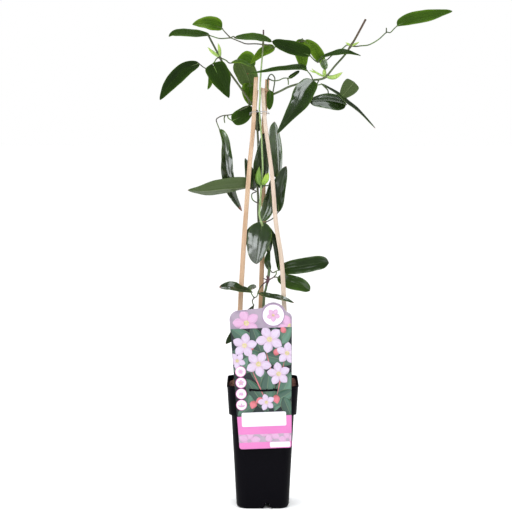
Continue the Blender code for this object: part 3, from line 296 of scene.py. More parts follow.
VINE_RIGHT = {
    "stem": [ (1, 110, 17), (1, 186, 17), (2, 311, 14), (5, 336, 14), (8, 350, 14), (10, 373, 14),
        (10, 394, 16), (9, 404, 20), (7, 415, 26), (4, 427, 29), (2, 442, 28), (1, 485, 25), (2, 534, 20),
        (1, 576, 17), (3, 608, 15), (7, 624, 13), (12, 631, 8), (15, 634, 6), (28, 640, 2), (40, 646, 0),
        (57, 651, -4), (76, 656, -8), (86, 657, -10), (96, 661, -12), (110.5, 678, -14), (124.8, 694, -14),
        (134, 708, -14), (142, 721, -13), (156.5, 748, -12)],
    "radii": (1.9, 1.5),
    "nodes": [(96, 661, -12), (134, 708, -14)],
    "petioles": [
        [(86, 657, -10), (79, 656, -12), (75, 652, -13)],
        [(86, 657, -10), (83, 649, -12), (90, 650, -14)],
        [(90, 650, -14), (99, 641, -10), (101, 635, -8), (112, 626, -8), (126, 619, -12)],
        [(76, 656, -8), (75, 660, -9), (72, 665, -10), (67, 671, -12)],
        [(134, 708, -14), (128, 709, -12), (119, 702, -9), (105, 693, -9), (98, 687, -13), (89, 684, -17),
         (84, 683, -17)],
        [(84, 683, -17), (79, 686, -20), (72, 693, -24)],
        [(84, 683, -17), (86, 687, -15), (90, 691, -14)],
        [(134, 708, -14), (141, 707, -15), (150, 708, -17), (160, 709, -19), (169, 713, -21),
         (178, 719, -24), (188, 728, -28), (194, 728, -29), (200, 734, -30), (204.5, 738, -31)],
        [(188, 728, -28), (188, 735, -27)],
        [(15, 634, 6), (16, 640, 2), (18, 652, -3), (18, 660, -6), (13, 665, -7), (8, 659, -7), (7, 649, -6),
         (8, 643, -5), (11, 640, -4)],
        [(8, 659, -7), (11, 657, -8), (17, 655, -9), (25, 656, -11), (32, 659, -14), (40, 659, -17)],
        [(38, 659, -16), (39, 654, -16), (39, 649, -15)],
    ],
    "leaves": {
        "inner": leaf([(72, 693, -24), (43, 704, -30), (14, 714.5, -34)], (3.5, 8, 11, 10, 5.5),
            (9.5, 13.5, 12.5, 9, 5.5), FRONT_UP, green=0.36, lime=0.05),
        "edge_on": leaf([(90, 691, -14), (114, 696.5, -25), (129, 697.5, -27), (149, 693, -22)],
            (5, 9.5, 9.5, 7, 3), face=(0, -0.5, 0.87), green=0.46),
        "far": leaf([(204.5, 738, -31), (223, 746, -38), (247, 751.5, -47), (270, 756.5, -53),
            (288, 760, -58)], (8, 11.5, 11, 7.5, 4), (2.5, 8, 10, 7, 3), FRONT_UP, green=0.76),
        "small": leaf([(90, 687, -17), (93, 681, -15), (96, 672, -14)], oval(6), face=(0, -0.9, 0.3),
            green=0.80, lime=0.2, skin=GLOSSY),
        "left_pointing": leaf([(67, 671, -12), (55, 674.5, -15), (30, 672.5, -19), (8, 670, -21),
            (-24, 665.5, -22)], (5, 6, 5, 3.5, 1.6), (6.5, 9.5, 6.5, 5.5, 1.8), (0, -0.6, 0.8),
            wave=(1.2, 2, 0.1), green=0.62, burn=0.03),
        "curl_small": leaf([(40, 659, -17), (47, 663.5, -17), (56, 670, -17)], oval(4), face=(0, -0.7, 0.7),
            green=0.40, burn=0.03),
        "cane_side": leaf([(11, 640, -4), (11.2, 626, -4), (9.7, 611, -5)], oval(5.5), fold=6, green=0.62,
            burn=0.03),
        "big_hanging": leaf([(75, 652.5, -13), (64, 638, -19), (57, 622, -25), (42, 602, -31),
            (22, 574, -36)], (12, 17, 15.5, 10.5, 4.5), (12, 16.5, 15.5, 10.5, 4.5), (-0.2, -0.9, 0.4),
            lobe=4.0, green=0.36, burn=0.015, lime=0.2, skin=GLOSSY),
        "torn": leaf([(127, 619, -12), (100, 624.5, -16), (71, 624, -20)], (8, 14, 14.5, 12, 8),
            (7, 11, 11.5, 9, 5), (0, -0.95, 0.3), fold=16, green=0.42, burn=0.04, skin=GLOSSY),
        "long_edge_on": leaf([(90, 650, -14), (113, 636, -20), (130, 621.5, -24), (147.5, 608, -29),
            (172, 583, -36)], (4.5, 8.5, 9.5, 8, 3.5), face=(0.62, -0.34, 0.76), fold=8, green=0.36,
            burn=0.03, skin=GLOSSY),
        "cut_short": leaf([(121, 631, -18), (131.5, 643.5, -15), (139.5, 653.5, -14)],
            (5, 9, 12, 12.5, 10.5), face=(0.3, 0.9, 0.3), fold=6, green=0.55),
    },
    "buds": [
        ([(98, 661, -13), (109, 660.5, -16), (122, 668, -18)], 3.5),
        ([(95, 661, -12), (94, 668, -12), (95, 675, -12)], 3.0),
        ([(95, 661, -12), (88, 664, -12), (81, 668, -12), (74, 674, -12)], 1.6),
        ([(83, 667, -12), (76, 669, -13), (71, 671, -14)], 1.3),
        ([(134, 707, -14), (131, 710, -14), (126, 713, -14)], 1.9),
        ([(134, 707, -14), (142, 711, -14), (147, 714, -14)], 1.9),
    ],
}


def placed(point):
    """The point of a table entry (x, height, depth), slid along its sight line, in the scene's metres."""
    x, height, depth = point
    scale = (EYE_DISTANCE + depth) / EYE_DISTANCE
    place = Vector((EYE_X + (x - EYE_X) * scale, depth, EYE_HEIGHT + (height - EYE_HEIGHT) * scale))
    return place * MM + AXIS


def spline_point(points, place):
    """A point on the smooth curve through the points, with place running from 0 to the last index."""
    index = max(0, min(int(place), len(points) - 2))
    part = place - index
    before = points[max(index - 1, 0)]
    start = points[index]
    end = points[index + 1]
    after = points[min(index + 2, len(points) - 1)]
    return 0.5 * (
        2.0 * start
        + (end - before) * part
        + (2.0 * before - 5.0 * start + 4.0 * end - after) * part**2
        + (3.0 * start - before - 3.0 * end + after) * part**3
    )


def resampled(points, step):
    """The smooth curve through the points, with a point about every step metres."""
    route = [points[0]]
    for index in range(len(points) - 1):
        span = (points[index + 1] - points[index]).length
        count = max(1, round(span / step))
        for k in range(count):
            route.append(spline_point(points, index + (k + 1) / count))
    return route


def smooth_step(value, low, high):
    """0 below low, 1 above high, and a soft rise between."""
    share = max(0.0, min(1.0, (value - low) / (high - low)))
    return share * share * (3.0 - 2.0 * share)


class Patchwork:
    """The vertices, faces, and named vectors at the vertices, that make one piece."""

    def __init__(self, *layers):
        self.verts = []
        self.faces = []
        self.slots = []
        self.layers = {layer: [] for layer in layers}

    def vert(self, place, **values):
        self.verts.append(place)
        for layer, rows in self.layers.items():
            rows.append(values.get(layer, (0.0, 0.0, 0.0)))
        return len(self.verts) - 1

    def face(self, corners, slot=0):
        self.faces.append(corners)
        self.slots.append(slot)

    def piece(self, name, *materials, smooth=True, sharp=None):
        mesh = bpy.data.meshes.new(name)
        mesh.from_pydata(self.verts, [], self.faces)
        mesh.polygons.foreach_set("use_smooth", [smooth] * len(self.faces))
        mesh.polygons.foreach_set("material_index", self.slots)
        for layer, rows in self.layers.items():
            values = mesh.attributes.new(layer, "FLOAT_VECTOR", "POINT")
            values.data.foreach_set("vector", [value for row in rows for value in row])
        for material in materials:
            mesh.materials.append(material)
        if sharp is not None:
            mesh.set_sharp_from_angle(angle=math.radians(sharp))
        mesh.validate()
        obj = bpy.data.objects.new(name, mesh)
        bpy.context.scene.collection.objects.link(obj)
        return obj

    def bridge(self, lower, upper, slot=0, closed=True):
        """Faces between two rows of points, which are rings if closed."""
        for k in range(len(lower) if closed else len(lower) - 1):
            after = (k + 1) % len(lower)
            self.face((lower[k], lower[after], upper[after], upper[k]), slot)

    def fan(self, middle, ring):
        for k in range(len(ring)):
            self.face((middle, ring[k], ring[(k + 1) % len(ring)]))

    def slab(self, tops, bottoms, slot):
        """The closed skin round an upper and a lower grid of points."""
        for row in range(len(tops) - 1):
            self.bridge(tops[row], tops[row + 1], slot, False)
            self.bridge(bottoms[row + 1], bottoms[row], slot, False)
        self.bridge([row[0] for row in tops], [row[0] for row in bottoms], slot, False)
        self.bridge([row[-1] for row in bottoms], [row[-1] for row in tops], slot, False)
        self.bridge(bottoms[0], tops[0], slot, False)
        self.bridge(tops[-1], bottoms[-1], slot, False)


def seat(piece, node, stands_for=True):
    """Puts a piece on the one body and, if it stands for the node, in its place."""
    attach(piece, "root")
    if stands_for:
        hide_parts(node)


def turned_frames(route):
    """A direction across the route at each of its points, carried along without twist."""
    tangents = []
    for index in range(len(route)):
        ahead = route[min(index + 1, len(route) - 1)]
        behind = route[max(index - 1, 0)]
        tangents.append((ahead - behind).normalized())
    side = tangents[0].cross(Vector((0.0, 1.0, 0.13))).normalized()
    frames = []
    for tangent in tangents:
        side = (side - side.dot(tangent) * tangent).normalized()
        frames.append((side, tangent.cross(side)))
    return frames


def sweep(patch, route, radii, sides, section=None, layer=None, values=None):
    """A closed tube along the route. section(angle, share) scales its radius; values(angle, share)
    gives the layer's vector at each point."""
    def shown(angle, share):
        return {layer: values(angle, share)} if layer else {}

    rings = []
    for index, (place, radius, (side, over)) in enumerate(zip(route, radii, turned_frames(route))):
        share = index / (len(route) - 1)
        ring = []
        for k in range(sides):
            angle = math.tau * k / sides
            reach = radius * (section(angle, share) if section else 1.0)
            spot = place + (side * math.cos(angle) + over * math.sin(angle)) * reach
            ring.append(patch.vert(spot, **shown(angle, share)))
        rings.append(ring)
    for lower, upper in zip(rings, rings[1:]):
        patch.bridge(lower, upper)
    patch.fan(patch.vert(route[0], **shown(0.0, 0.0)), rings[0][::-1])
    patch.fan(patch.vert(route[-1], **shown(0.0, 1.0)), rings[-1])


def side_width(widths, share):
    """A side's half width in mm at a share of the stations from base (0) to tip (1)."""
    points = [Vector((value, 0.0, 0.0)) for value in (STALK_HALF, *widths, TIP_HALF)]
    return max(spline_point(points, share * (len(points) - 1)).x, TIP_HALF)


def station_place(share):
    """How far along its midrib a leaflet's station stands: its base is rounder than its tip."""
    if share < 0.5:
        return (1.0 - math.cos(math.pi * share)) / 2.0
    return 1.0 - 0.5 * (2.0 * (1.0 - share)) ** TIP_TAPER


def add_leaf(patch, data, seed):
    """A leaflet: both faces and the rim, with three sunken veins and a soft wave along its edge."""
    route = [placed(point) for point in data["route"]]
    last = len(route) - 1
    face = Vector(data["face"])
    tip_face = Vector(data["tip_face"])
    height, count, phase = data["wave"]
    fold = math.radians(data["fold"])
    tops, bottoms = [], []
    for station in range(BLADE_STATIONS + 1):
        share = station / BLADE_STATIONS
        place = station_place(share)
        center = spline_point(route, place * last)
        ahead = spline_point(route, min(place + SLOPE_REACH, 1.0) * last)
        behind = spline_point(route, max(place - SLOPE_REACH, 0.0) * last)
        along = (ahead - behind).normalized()
        up = face.lerp(tip_face, place)
        up = (up - up.dot(along) * along).normalized()
        side = along.cross(up)
        ripple = height * math.sin(math.tau * (count * place + phase))
        body = math.sin(math.pi * share) ** 0.6 if 0 < station < BLADE_STATIONS else 0.0
        top_row, bottom_row = [], []
        for reach in BLADE_REACHES:
            half = side_width(data["right"] if reach > 0 else data["left"], share)
            bent = abs(reach)
            zone = bent / SIDE_VEIN if bent < SIDE_VEIN else (bent - SIDE_VEIN) / (1.0 - SIDE_VEIN)
            rise = half * (bent * math.sin(fold) + reach**2 * ripple / 10.0)
            rise += VEIN_ARCH * half * math.sin(math.pi * zone) * body
            edge = noise.noise(Vector((place * RUFFLE_SCALE, seed * 3.7, 1.0 if reach > 0 else 5.0)))
            rise += RUFFLE * edge * bent**3 * body
            back = data["lobe"] * bent * max(0.0, 1.0 - 4.0 * place)
            spot = center + (side * half * reach * math.cos(fold) + up * rise - along * back) * MM
            thick = (EDGE_THICK + (BLADE_THICK - EDGE_THICK) * (1.0 - bent**4)) * MM
            rib = MIDRIB_HEIGHT * math.exp(-((half * reach / MIDRIB_HALF) ** 2)) * (1.0 - 0.7 * place) * MM
            for row, lift, under in ((top_row, thick / 2, 0.0), (bottom_row, -(thick / 2 + rib), 1.0)):
                shown = {"leaf_place": (place, reach, under), "leaf_look": data["look"]}
                row.append(patch.vert(spot + up * lift, **shown))
        tops.append(top_row)
        bottoms.append(bottom_row)
    patch.slab(tops, bottoms, data["skin"])


def ridge(angle, share):
    """How high a shoot's ribs stand, from -1 to 1; they wind slowly up the shoot."""
    return math.cos(STEM_RIBS * angle + RIB_WIND * share)


def swollen(route, nodes, radius):
    """How much each point of a stem's route swells for the nodes near it."""
    swells = []
    for place in route:
        near = [math.exp(-(((place - node).length / (NODE_REACH * MM)) ** 2)) for node in nodes]
        swells.append(1.0 + (NODE_RADIUS * MM / radius - 1.0) * max(near))
    return swells


def tapered(first, final, count):
    """Radii from first to final in mm, in metres."""
    return [(first + (final - first) * k / (count - 1)) * MM for k in range(count)]


def add_stem(patch, vine):
    route = resampled([placed(point) for point in vine["stem"]], STEM_STEP * MM)
    nodes = [placed(point) for point in vine["nodes"]]
    swells = swollen(route, nodes, sum(vine["radii"]) / 2 * MM)
    radii = [radius * swell for radius, swell in zip(tapered(*vine["radii"], len(route)), swells)]
    last = len(route) - 1
    sweep(patch, route, radii, STEM_SIDES, lambda angle, share: 1.0 + RIB_RISE * ridge(angle, share),
          "stem_look", lambda angle, share: (share, swells[round(share * last)] - 1.0, ridge(angle, share)))


def plain_stalk(patch, route, radii):
    sweep(patch, route, radii, STALK_SIDES, None, "stem_look", lambda angle, share: (share, 0.0, 1.0))


def add_petiole(patch, points):
    """A leaf stalk, a little thicker where it starts."""
    route = resampled([placed(point) for point in points], PETIOLE_STEP * MM)
    radii = tapered(*PETIOLE_RADII, len(route))
    radii[0] *= 1.25
    plain_stalk(patch, route, radii)


def add_rib(patch, data):
    """The midrib's foot, which runs from the stalk into the blade."""
    route = [placed(point) for point in data["route"]]
    reach = RIB_LENGTH * MM / (route[1] - route[0]).length
    places = [spline_point(route, min(reach * k / RIB_STEPS, len(route) - 1)) for k in range(RIB_STEPS + 1)]
    start = places[0] + (places[0] - places[1]).normalized() * RIB_START * MM
    hidden, first, final = RIB_RADII
    plain_stalk(patch, [start, *places], [hidden * MM, *tapered(first, final, RIB_STEPS + 1)])


def add_bud(patch, points, radius, lime=1.3, flat=1.0):
    """A bud or bract: full below, pointed above, and flat times as deep as it is wide."""
    route = resampled([placed(point) for point in points], BUD_STEP * MM)
    last = len(route) - 1
    radii = []
    for k in range(last + 1):
        place = 0.12 + 0.88 * k / last
        radii.append(max(0.12, radius * math.sin(math.pi * place) ** (0.7 if place < 0.5 else 1.1)) * MM)

    def stripe(angle):
        return math.cos(BUD_SCALES * angle + 0.6)

    def section(angle, share):
        flattened = 1.0 / math.hypot(math.cos(angle), math.sin(angle) / flat)
        return flattened * (1.0 + 0.05 * stripe(angle) * (1.0 - share))

    sweep(patch, route, radii, STEM_SIDES, section, "stem_look",
          lambda angle, share: (share, lime, stripe(angle)))


def build_vine(name, vine, leaf_skins, stem_skin, stalk_skin, bud_skin):
    """One shoot: its leaflets, its stem with stalks, and its buds, in place of the node of that name."""
    leaves = Patchwork("leaf_place", "leaf_look")
    stem, stalks, buds = (Patchwork("stem_look") for _ in range(3))
    for seed, data in enumerate(vine["leaves"].values()):
        add_leaf(leaves, data, seed)
    add_stem(stem, vine)
    for points in vine["petioles"]:
        add_petiole(stalks, points)
    for data in vine["leaves"].values():
        add_rib(stalks, data)
    for points, radius, *finish in vine["buds"]:
        add_bud(buds, points, radius, *finish)
    seat(leaves.piece(f"{name}_leaves", *leaf_skins), name)
    seat(stem.piece(f"{name}_stem", stem_skin), name)
    seat(stalks.piece(f"{name}_stalks", stalk_skin), name)
    seat(buds.piece(f"{name}_buds", bud_skin), name)


class Value:
    """What a shader node gives out; + - * and abs() feed it into further nodes."""

    def __init__(self, skin, socket):
        self.skin = skin
        self.socket = socket

    def __add__(self, other):
        return self.skin.math("ADD", self, other)

    def __sub__(self, other):
        return self.skin.math("SUBTRACT", self, other)

    def __rsub__(self, other):
        return self.skin.math("SUBTRACT", other, self)

    def __mul__(self, other):
        return self.skin.math("MULTIPLY", self, other)

    def __abs__(self):
        return self.skin.math("ABSOLUTE", self)


class Shader:
    """A material whose colour, roughness and bump come from nodes."""

    def __init__(self, name, **constants):
        self.material = bpy.data.materials.new(name)
        self.material.use_nodes = True
        self.tree = self.material.node_tree
        self.base = self.tree.nodes["Principled BSDF"]
        for socket, value in constants.items():
            self.base.inputs[socket.replace("_", " ").title().replace("Ior", "IOR")].default_value = value

    def node(self, kind, inputs=(), output=0, **settings):
        """A new node's chosen output, with values or other outputs put into its inputs."""
        node = self.tree.nodes.new(kind)
        for key, value in settings.items():
            setattr(node, key, value)
        for title, value in dict(inputs).items():
            self.put(node.inputs[title], value)
        return Value(self, node.outputs[output])

    def put(self, socket, value):
        if isinstance(value, Value):
            self.tree.links.new(value.socket, socket)
        else:
            socket.default_value = (*value, 1.0) if socket.type == "RGBA" else value

    def math(self, operation, *values, clamp=False):
        return self.node("ShaderNodeMath", enumerate(values), operation=operation, use_clamp=clamp)

    def step(self, value, low, high, first=0.0, final=1.0):
        """A soft rise from first to final as the value goes from low to high."""
        inputs = {"Value": value, "From Min": low, "From Max": high, "To Min": first, "To Max": final}
        return self.node("ShaderNodeMapRange", inputs, interpolation_type="SMOOTHSTEP")

    def mix(self, share, first, final):
        return self.node("ShaderNodeMix", {0: share, 6: first, 7: final}, 2, data_type="RGBA")

    def over(self, colour, *coats):
        """The colour under coats given as (share, colour), the last on top."""
        for share, coat in coats:
            colour = self.mix(share, colour, coat)
        return colour

    def ramp(self, value, *stops):
        """Colours at places along a scale from 0 to 1."""
        shade = self.node("ShaderNodeValToRGB", {0: value})
        elements = shade.socket.node.color_ramp.elements
        while len(elements) < len(stops):
            elements.new(0.5)
        for element, (place, colour) in zip(elements, stops):
            element.position = place
            element.color = (*colour, 1.0)
        return shade

    def places(self, stretch=(1.0, 1.0, 1.0)):
        """The piece's own coordinates, in metres, stretched along each axis."""
        own = self.node("ShaderNodeTexCoord", output="Object")
        return self.node("ShaderNodeMapping", {"Vector": own, "Scale": stretch})

    def vector(self, *values):
        return self.node("ShaderNodeCombineXYZ", enumerate(values))

    def parts(self, vector):
        node = self.node("ShaderNodeSeparateXYZ", {0: vector}).socket.node
        return [Value(self, socket) for socket in node.outputs]

    def layer(self, name):
        return self.parts(self.node("ShaderNodeAttribute", output="Vector", attribute_name=name))

    def noise(self, vector, scale, detail=3.0, rough=0.5):
        inputs = {"Vector": vector, "Scale": scale, "Detail": detail, "Roughness": rough}
        return self.node("ShaderNodeTexNoise", inputs)

    def cell_edges(self, vector, scale):
        inputs = {"Vector": vector, "Scale": scale}
        return self.node("ShaderNodeTexVoronoi", inputs, "Distance", feature="DISTANCE_TO_EDGE")

    def near(self, place, inner, outer):
        """1 within inner metres of a place, falling softly to 0 at outer."""
        away = self.node("ShaderNodeVectorMath", {0: self.places(), 1: place}, "Value", operation="DISTANCE")
        return self.step(away, inner, outer, 1.0, 0.0)

    def bump(self, height, distance, strength=1.0):
        inputs = {"Strength": strength, "Distance": distance, "Height": height}
        self.put(self.base.inputs["Normal"], self.node("ShaderNodeBump", inputs))

    def colour(self, value):
        self.put(self.base.inputs["Base Color"], value)

    def roughness(self, value):
        self.put(self.base.inputs["Roughness"], value)


# Linear colours, in ramps with their places from 0 to 1
LEAF_GREENS = (
    (0.0, (0.0045, 0.0100, 0.0022)), (0.3, (0.0075, 0.0170, 0.0026)), (0.6, (0.0165, 0.0390, 0.0034)),
    (0.85, (0.0320, 0.0740, 0.0042)), (1.0, (0.0800, 0.1500, 0.0090)),
)
VEIN_DARK = (0.0030, 0.0090, 0.0015)
MIDRIB_LIME = (0.045, 0.085, 0.012)
RIM_LIME = (0.085, 0.150, 0.010)
UNDERSIDE = (0.078, 0.106, 0.044)
UNDERSIDE_VEIN = (0.095, 0.125, 0.045)
UNDERSIDE_MIDRIB = (0.120, 0.150, 0.065)
TIP_BURN = (0.110, 0.035, 0.016)
OLD_STEM = (0.020, 0.042, 0.010)
NODE_PURPLE = (0.062, 0.019, 0.028)
BUD_GREENS = ((0.0, (0.050, 0.110, 0.014)), (0.5, (0.110, 0.220, 0.028)), (1.0, (0.090, 0.170, 0.022)))
BUD_LIMES = ((0.0, (0.100, 0.200, 0.022)), (0.4, (0.240, 0.400, 0.040)), (1.0, (0.360, 0.480, 0.060)))
COIR = ((0.25, (0.016, 0.006, 0.005)), (0.5, (0.068, 0.025, 0.019)), (0.75, (0.185, 0.076, 0.058)))

# The veins beside the midrib: their place across the half blade and their weight
SIDE_VEINS = ((SIDE_VEIN, 1.0), (0.22, 0.45), (0.65, 0.6), (0.83, 0.35))

INK_ROUGHNESS = 0.34

# Table places of the purple low node and of a pale scuff on the pot's collar, scratches with a painted
# highlight
PURPLE_NODE = (8.0, 350.0, -13.0)
SCUFF_AND_GLINT = (-4.5, -2.6, -41.0)


def leaf_material(name, dull, shine, dapple):
    """A leaflet's skin: lengthwise veins, drifting greens, a lime rim, a burnt tip and a paler underside.
    dull is its roughness, shine its coat, and dapple how much its surface cockles."""
    skin = Shader(name, coat_weight=shine, coat_roughness=0.10, specular_ior_level=0.05 + 0.25 * shine)
    along, across, under = skin.layer("leaf_place")
    green, burn, lime = skin.layer("leaf_look")
    spot = skin.places()
    mottle = skin.noise(spot, 48.0, 2.0)
    drift = skin.noise(spot, 17.0, 1.0)
    streaks = skin.noise(skin.vector(along * 1.2, across * 6.0, green), 2.2, 2.0)
    bent = abs(across)
    tone = green + (mottle - 0.5) * 0.30 + (drift - 0.5) * 0.35 + (streaks - 0.5) * 0.22
    tone += skin.step(bent, 0.55, 1.0, 0.0, 0.16)
    tone = skin.math("ADD", tone, lime * skin.step(along, 0.0, 0.45, 1.0, 0.0), clamp=True)
    colour = skin.ramp(tone, *LEAF_GREENS)
    midrib = skin.step(bent, 0.012, 0.045, 1.0, 0.0)
    veins = midrib
    for place, weight in SIDE_VEINS:
        veins = skin.math("MAXIMUM", veins, skin.step(abs(bent - place), 0.004, 0.034, weight, 0.0))
    top = skin.over(
        colour, (veins * 0.75, skin.mix(0.62, colour, VEIN_DARK)),
        (skin.step(bent, 0.004, 0.018, 1.0, 0.0) * 0.5, MIDRIB_LIME),
        (skin.step(bent, 0.945, 0.995, 0.0, 0.75), RIM_LIME),
    )
    below = skin.over(
        colour, (0.55, UNDERSIDE), (veins * 0.28, UNDERSIDE_VEIN), (midrib * 0.7, UNDERSIDE_MIDRIB),
    )
    tip = along - (1.0 - burn) + (mottle - 0.5) * 0.05
    skin.colour(skin.over(top, (under, below), (skin.step(tip, -0.010, 0.012), TIP_BURN)))
    cockle = skin.noise(spot, 130.0, 2.0) + skin.noise(spot, 60.0, 1.0)
    network = skin.step(skin.cell_edges(spot, 430.0), 0.0, 0.25, 0.0, 0.25)
    skin.bump(network + veins * -1.1 + cockle * dapple, 0.00022, 0.5)
    skin.roughness(mottle * 0.20 + dull + under * 0.20)
    return skin.material


def stem_material(name, rib, groove, node, tip, old=0.0):
    """A shoot: pale ribs between darker grooves, with darker nodes and a tinted upper end; its old
    share from the root up is dark green."""
    skin = Shader(name, roughness=0.5)
    share, swell, ridge = skin.layer("stem_look")
    fine = skin.noise(skin.places((1.0, 1.0, 0.25)), 700.0, 3.0)
    broad = skin.noise(skin.places(), 50.0, 3.0)
    skin.colour(skin.over(
        skin.mix(skin.step(ridge + (fine - 0.5) * 0.9, -0.3, 0.7), groove, rib),
        (skin.step(broad, 0.50, 0.72, 0.0, 0.45), groove),
        (skin.step(share, old - 0.05, old + 0.03, 0.82, 0.0), OLD_STEM),
        (skin.step(share, 0.90, 0.985), tip),
        (skin.step(swell, 0.10, 0.80, 0.0, 0.8), node),
        (skin.near(placed(PURPLE_NODE), 0.004, 0.0075), NODE_PURPLE),
    ))
    skin.bump(fine, 0.00015, 0.6)
    skin.roughness(fine * 0.25 + 0.35)
    return skin.material


def stalk_material(name, light, dark):
    """A leaf stalk: smooth, green above and dark where it turns."""
    skin = Shader(name, roughness=0.45, specular_ior_level=0.25)
    share, _, _ = skin.layer("stem_look")
    broad = skin.noise(skin.places(), 55.0, 3.0)
    fine = skin.noise(skin.places(), 800.0, 3.0)
    skin.colour(skin.over(
        skin.mix(skin.step(broad, 0.38, 0.62), light, dark),
        (skin.step(share, 0.0, 0.25, 0.6, 0.0), (0.045, 0.018, 0.022)),
        (skin.step(fine, 0.5, 0.75, 0.0, 0.3), light),
        (skin.near(placed(PURPLE_NODE), 0.008, 0.013), NODE_PURPLE),
    ))
    skin.bump(fine, 0.00010, 0.5)
    skin.roughness(fine * 0.2 + 0.32)
    return skin.material


def bud_material():
    """Silky buds with paler stripes, from leaf green to lime."""
    skin = Shader("bud", roughness=0.5, specular_ior_level=0.3)
    share, lime, stripe = skin.layer("stem_look")
    fine = skin.noise(skin.places((1.0, 1.0, 0.12)), 900.0, 3.0)
    skin.colour(skin.over(
        skin.mix(lime, skin.ramp(share, *BUD_GREENS), skin.ramp(share, *BUD_LIMES)),
        (skin.step(lime, 1.0, 2.0), (0.560, 0.620, 0.330)),
        (skin.step(stripe, 0.1, 1.0, 0.0, 0.35), (0.300, 0.440, 0.120)),
        (skin.step(fine, 0.40, 0.65, 0.3, 0.0), (0.040, 0.090, 0.012)),
    ))
    skin.bump(fine, 0.0001, 0.5)
    return skin.material


def cane_material(name, light, dark, top):
    """Split wood: fine upright grain, tan streaks, a stained top, and darker towards the foot."""
    skin = Shader(name, roughness=0.75)
    grain = skin.noise(skin.places((1.0, 1.0, 0.010)), 1500.0, 4.0, 0.6)
    streak = skin.noise(skin.places((1.0, 1.0, 0.020)), 230.0, 2.0)
    stain = skin.noise(skin.places((1.0, 1.0, 0.25)), 26.0, 3.0)
    height = skin.parts(skin.places())[2]
    skin.colour(skin.over(
        light,
        (skin.step(grain, 0.42, 0.70, 0.0, 0.45), dark),
        (skin.step(streak, 0.50, 0.62, 0.0, 0.75), dark),
        (skin.step(stain, 0.58, 0.80, 0.0, 0.35), (0.330, 0.180, 0.090)),
        # darker towards the foot, below 0.62 m height
        (skin.step(height, 0.36, 0.62, 0.6, 0.0), dark),
        (skin.step(height, top - 0.012, top, 0.0, 0.55), (0.260, 0.110, 0.035)),
    ))
    skin.bump(grain, 0.0003, 0.8)
    skin.roughness(grain * 0.3 + 0.55)
    return skin.material


def pot_material():
    """Satin black moulded plastic with faint flow marks, dust, and a pale scuff of scratches with a painted
    highlight.
    """
    skin = Shader("pot_plastic", specular_ior_level=0.035)
    flow = skin.noise(skin.places((1.0, 1.0, 0.25)), 45.0, 4.0)
    dust = skin.noise(skin.places(), 420.0, 5.0, 0.7)
    # the pale scuff: scratch marks with a painted highlight, laid on at one place
    scuff_and_glint = skin.near(placed(SCUFF_AND_GLINT), 0.001, 0.0055) * skin.step(dust, 0.46, 0.56)
    skin.colour(skin.over(
        (0.0016, 0.0014, 0.0026),
        (skin.step(dust, 0.60, 0.80, 0.0, 0.35), (0.0060, 0.0056, 0.0070)),
        (scuff_and_glint * 0.7, (0.260, 0.240, 0.280)),
    ))
    skin.roughness(flow * 0.22 + 0.26)
    skin.bump(flow * 2.0 + skin.noise(skin.places(), 1600.0, 2.0), 0.00006, 0.6)
    return skin.material


def soil_material():
    """Damp brown coir."""
    skin = Shader("coir", roughness=0.95)
    lumps = skin.noise(skin.places(), 240.0, 5.0, 0.7)
    specks = skin.noise(skin.places(), 900.0, 3.0)
    colour = skin.ramp(lumps, *COIR)
    skin.colour(skin.mix(skin.step(specks, 0.62, 0.74, 0.0, 0.7), colour, (0.210, 0.130, 0.075)))
    skin.bump(lumps, 0.0016, 0.9)
    return skin.material


def fibre_material():
    skin = Shader("coir_fibre", roughness=0.9)
    tint = skin.noise(skin.places(), 120.0, 2.0)
    skin.colour(skin.ramp(tint, (0.3, (0.070, 0.028, 0.018)), (0.7, (0.260, 0.130, 0.080))))
    skin.bump(skin.noise(skin.places(), 2500.0, 2.0), 0.0001, 0.6)
    return skin.material


def wire_material():
    skin = Shader("tie_wire", metallic=0.8)
    wear = skin.noise(skin.places(), 600.0, 3.0)
    skin.colour(skin.ramp(wear, (0.3, (0.230, 0.230, 0.240)), (0.7, (0.500, 0.500, 0.510))))
    skin.roughness(wear * 0.3 + 0.3)
    return skin.material


def ink(name, first, final, scale=60.0):
    """A printed colour with a soft drift between two shades."""
    skin = Shader(name, roughness=INK_ROUGHNESS, specular_ior_level=0.25)
    drift = skin.noise(skin.places(), scale, 2.0)
    skin.colour(skin.mix(skin.step(drift, 0.35, 0.65), first, final))
    skin.bump(skin.noise(skin.places(), 900.0, 2.0), 0.00002, 0.3)
    return skin.material


def petal_ink(name, root, tip, edge):
    """A printed petal that pales from its root, with soft stripes."""
    skin = Shader(name, roughness=INK_ROUGHNESS)
    along, across, shade = skin.layer("print_place")
    stripe = skin.noise(skin.vector(across * 2.5, along, shade), 2.0, 1.0)
    skin.colour(skin.over(
        root, (skin.step(along, 0.02, 0.45), tip), (skin.step(stripe, 0.40, 0.68, 0.0, 0.6), edge),
        (skin.step(across, 0.2, 1.0, 0.0, 0.6), edge), (shade * 0.2, root),
    ))
    return skin.material


def leaf_ink():
    """A printed leaf: from near black to mid green by its shade, with a lit side and a paler midrib."""
    skin = Shader("ink_leaf", roughness=INK_ROUGHNESS)
    _, across, shade = skin.layer("print_place")
    deep = skin.mix(shade, (0.008, 0.032, 0.021), (0.036, 0.095, 0.064))
    lit = skin.mix(shade, (0.020, 0.066, 0.040), (0.075, 0.170, 0.118))
    skin.colour(skin.over(
        deep, (skin.step(across, -0.3, 0.5), lit),
        (skin.step(abs(across), 0.01, 0.06, 0.6, 0.0), (0.125, 0.190, 0.095)),
        (skin.step(abs(across), 0.90, 1.0, 0.0, 0.5), (0.160, 0.150, 0.060)),
    ))
    return skin.material


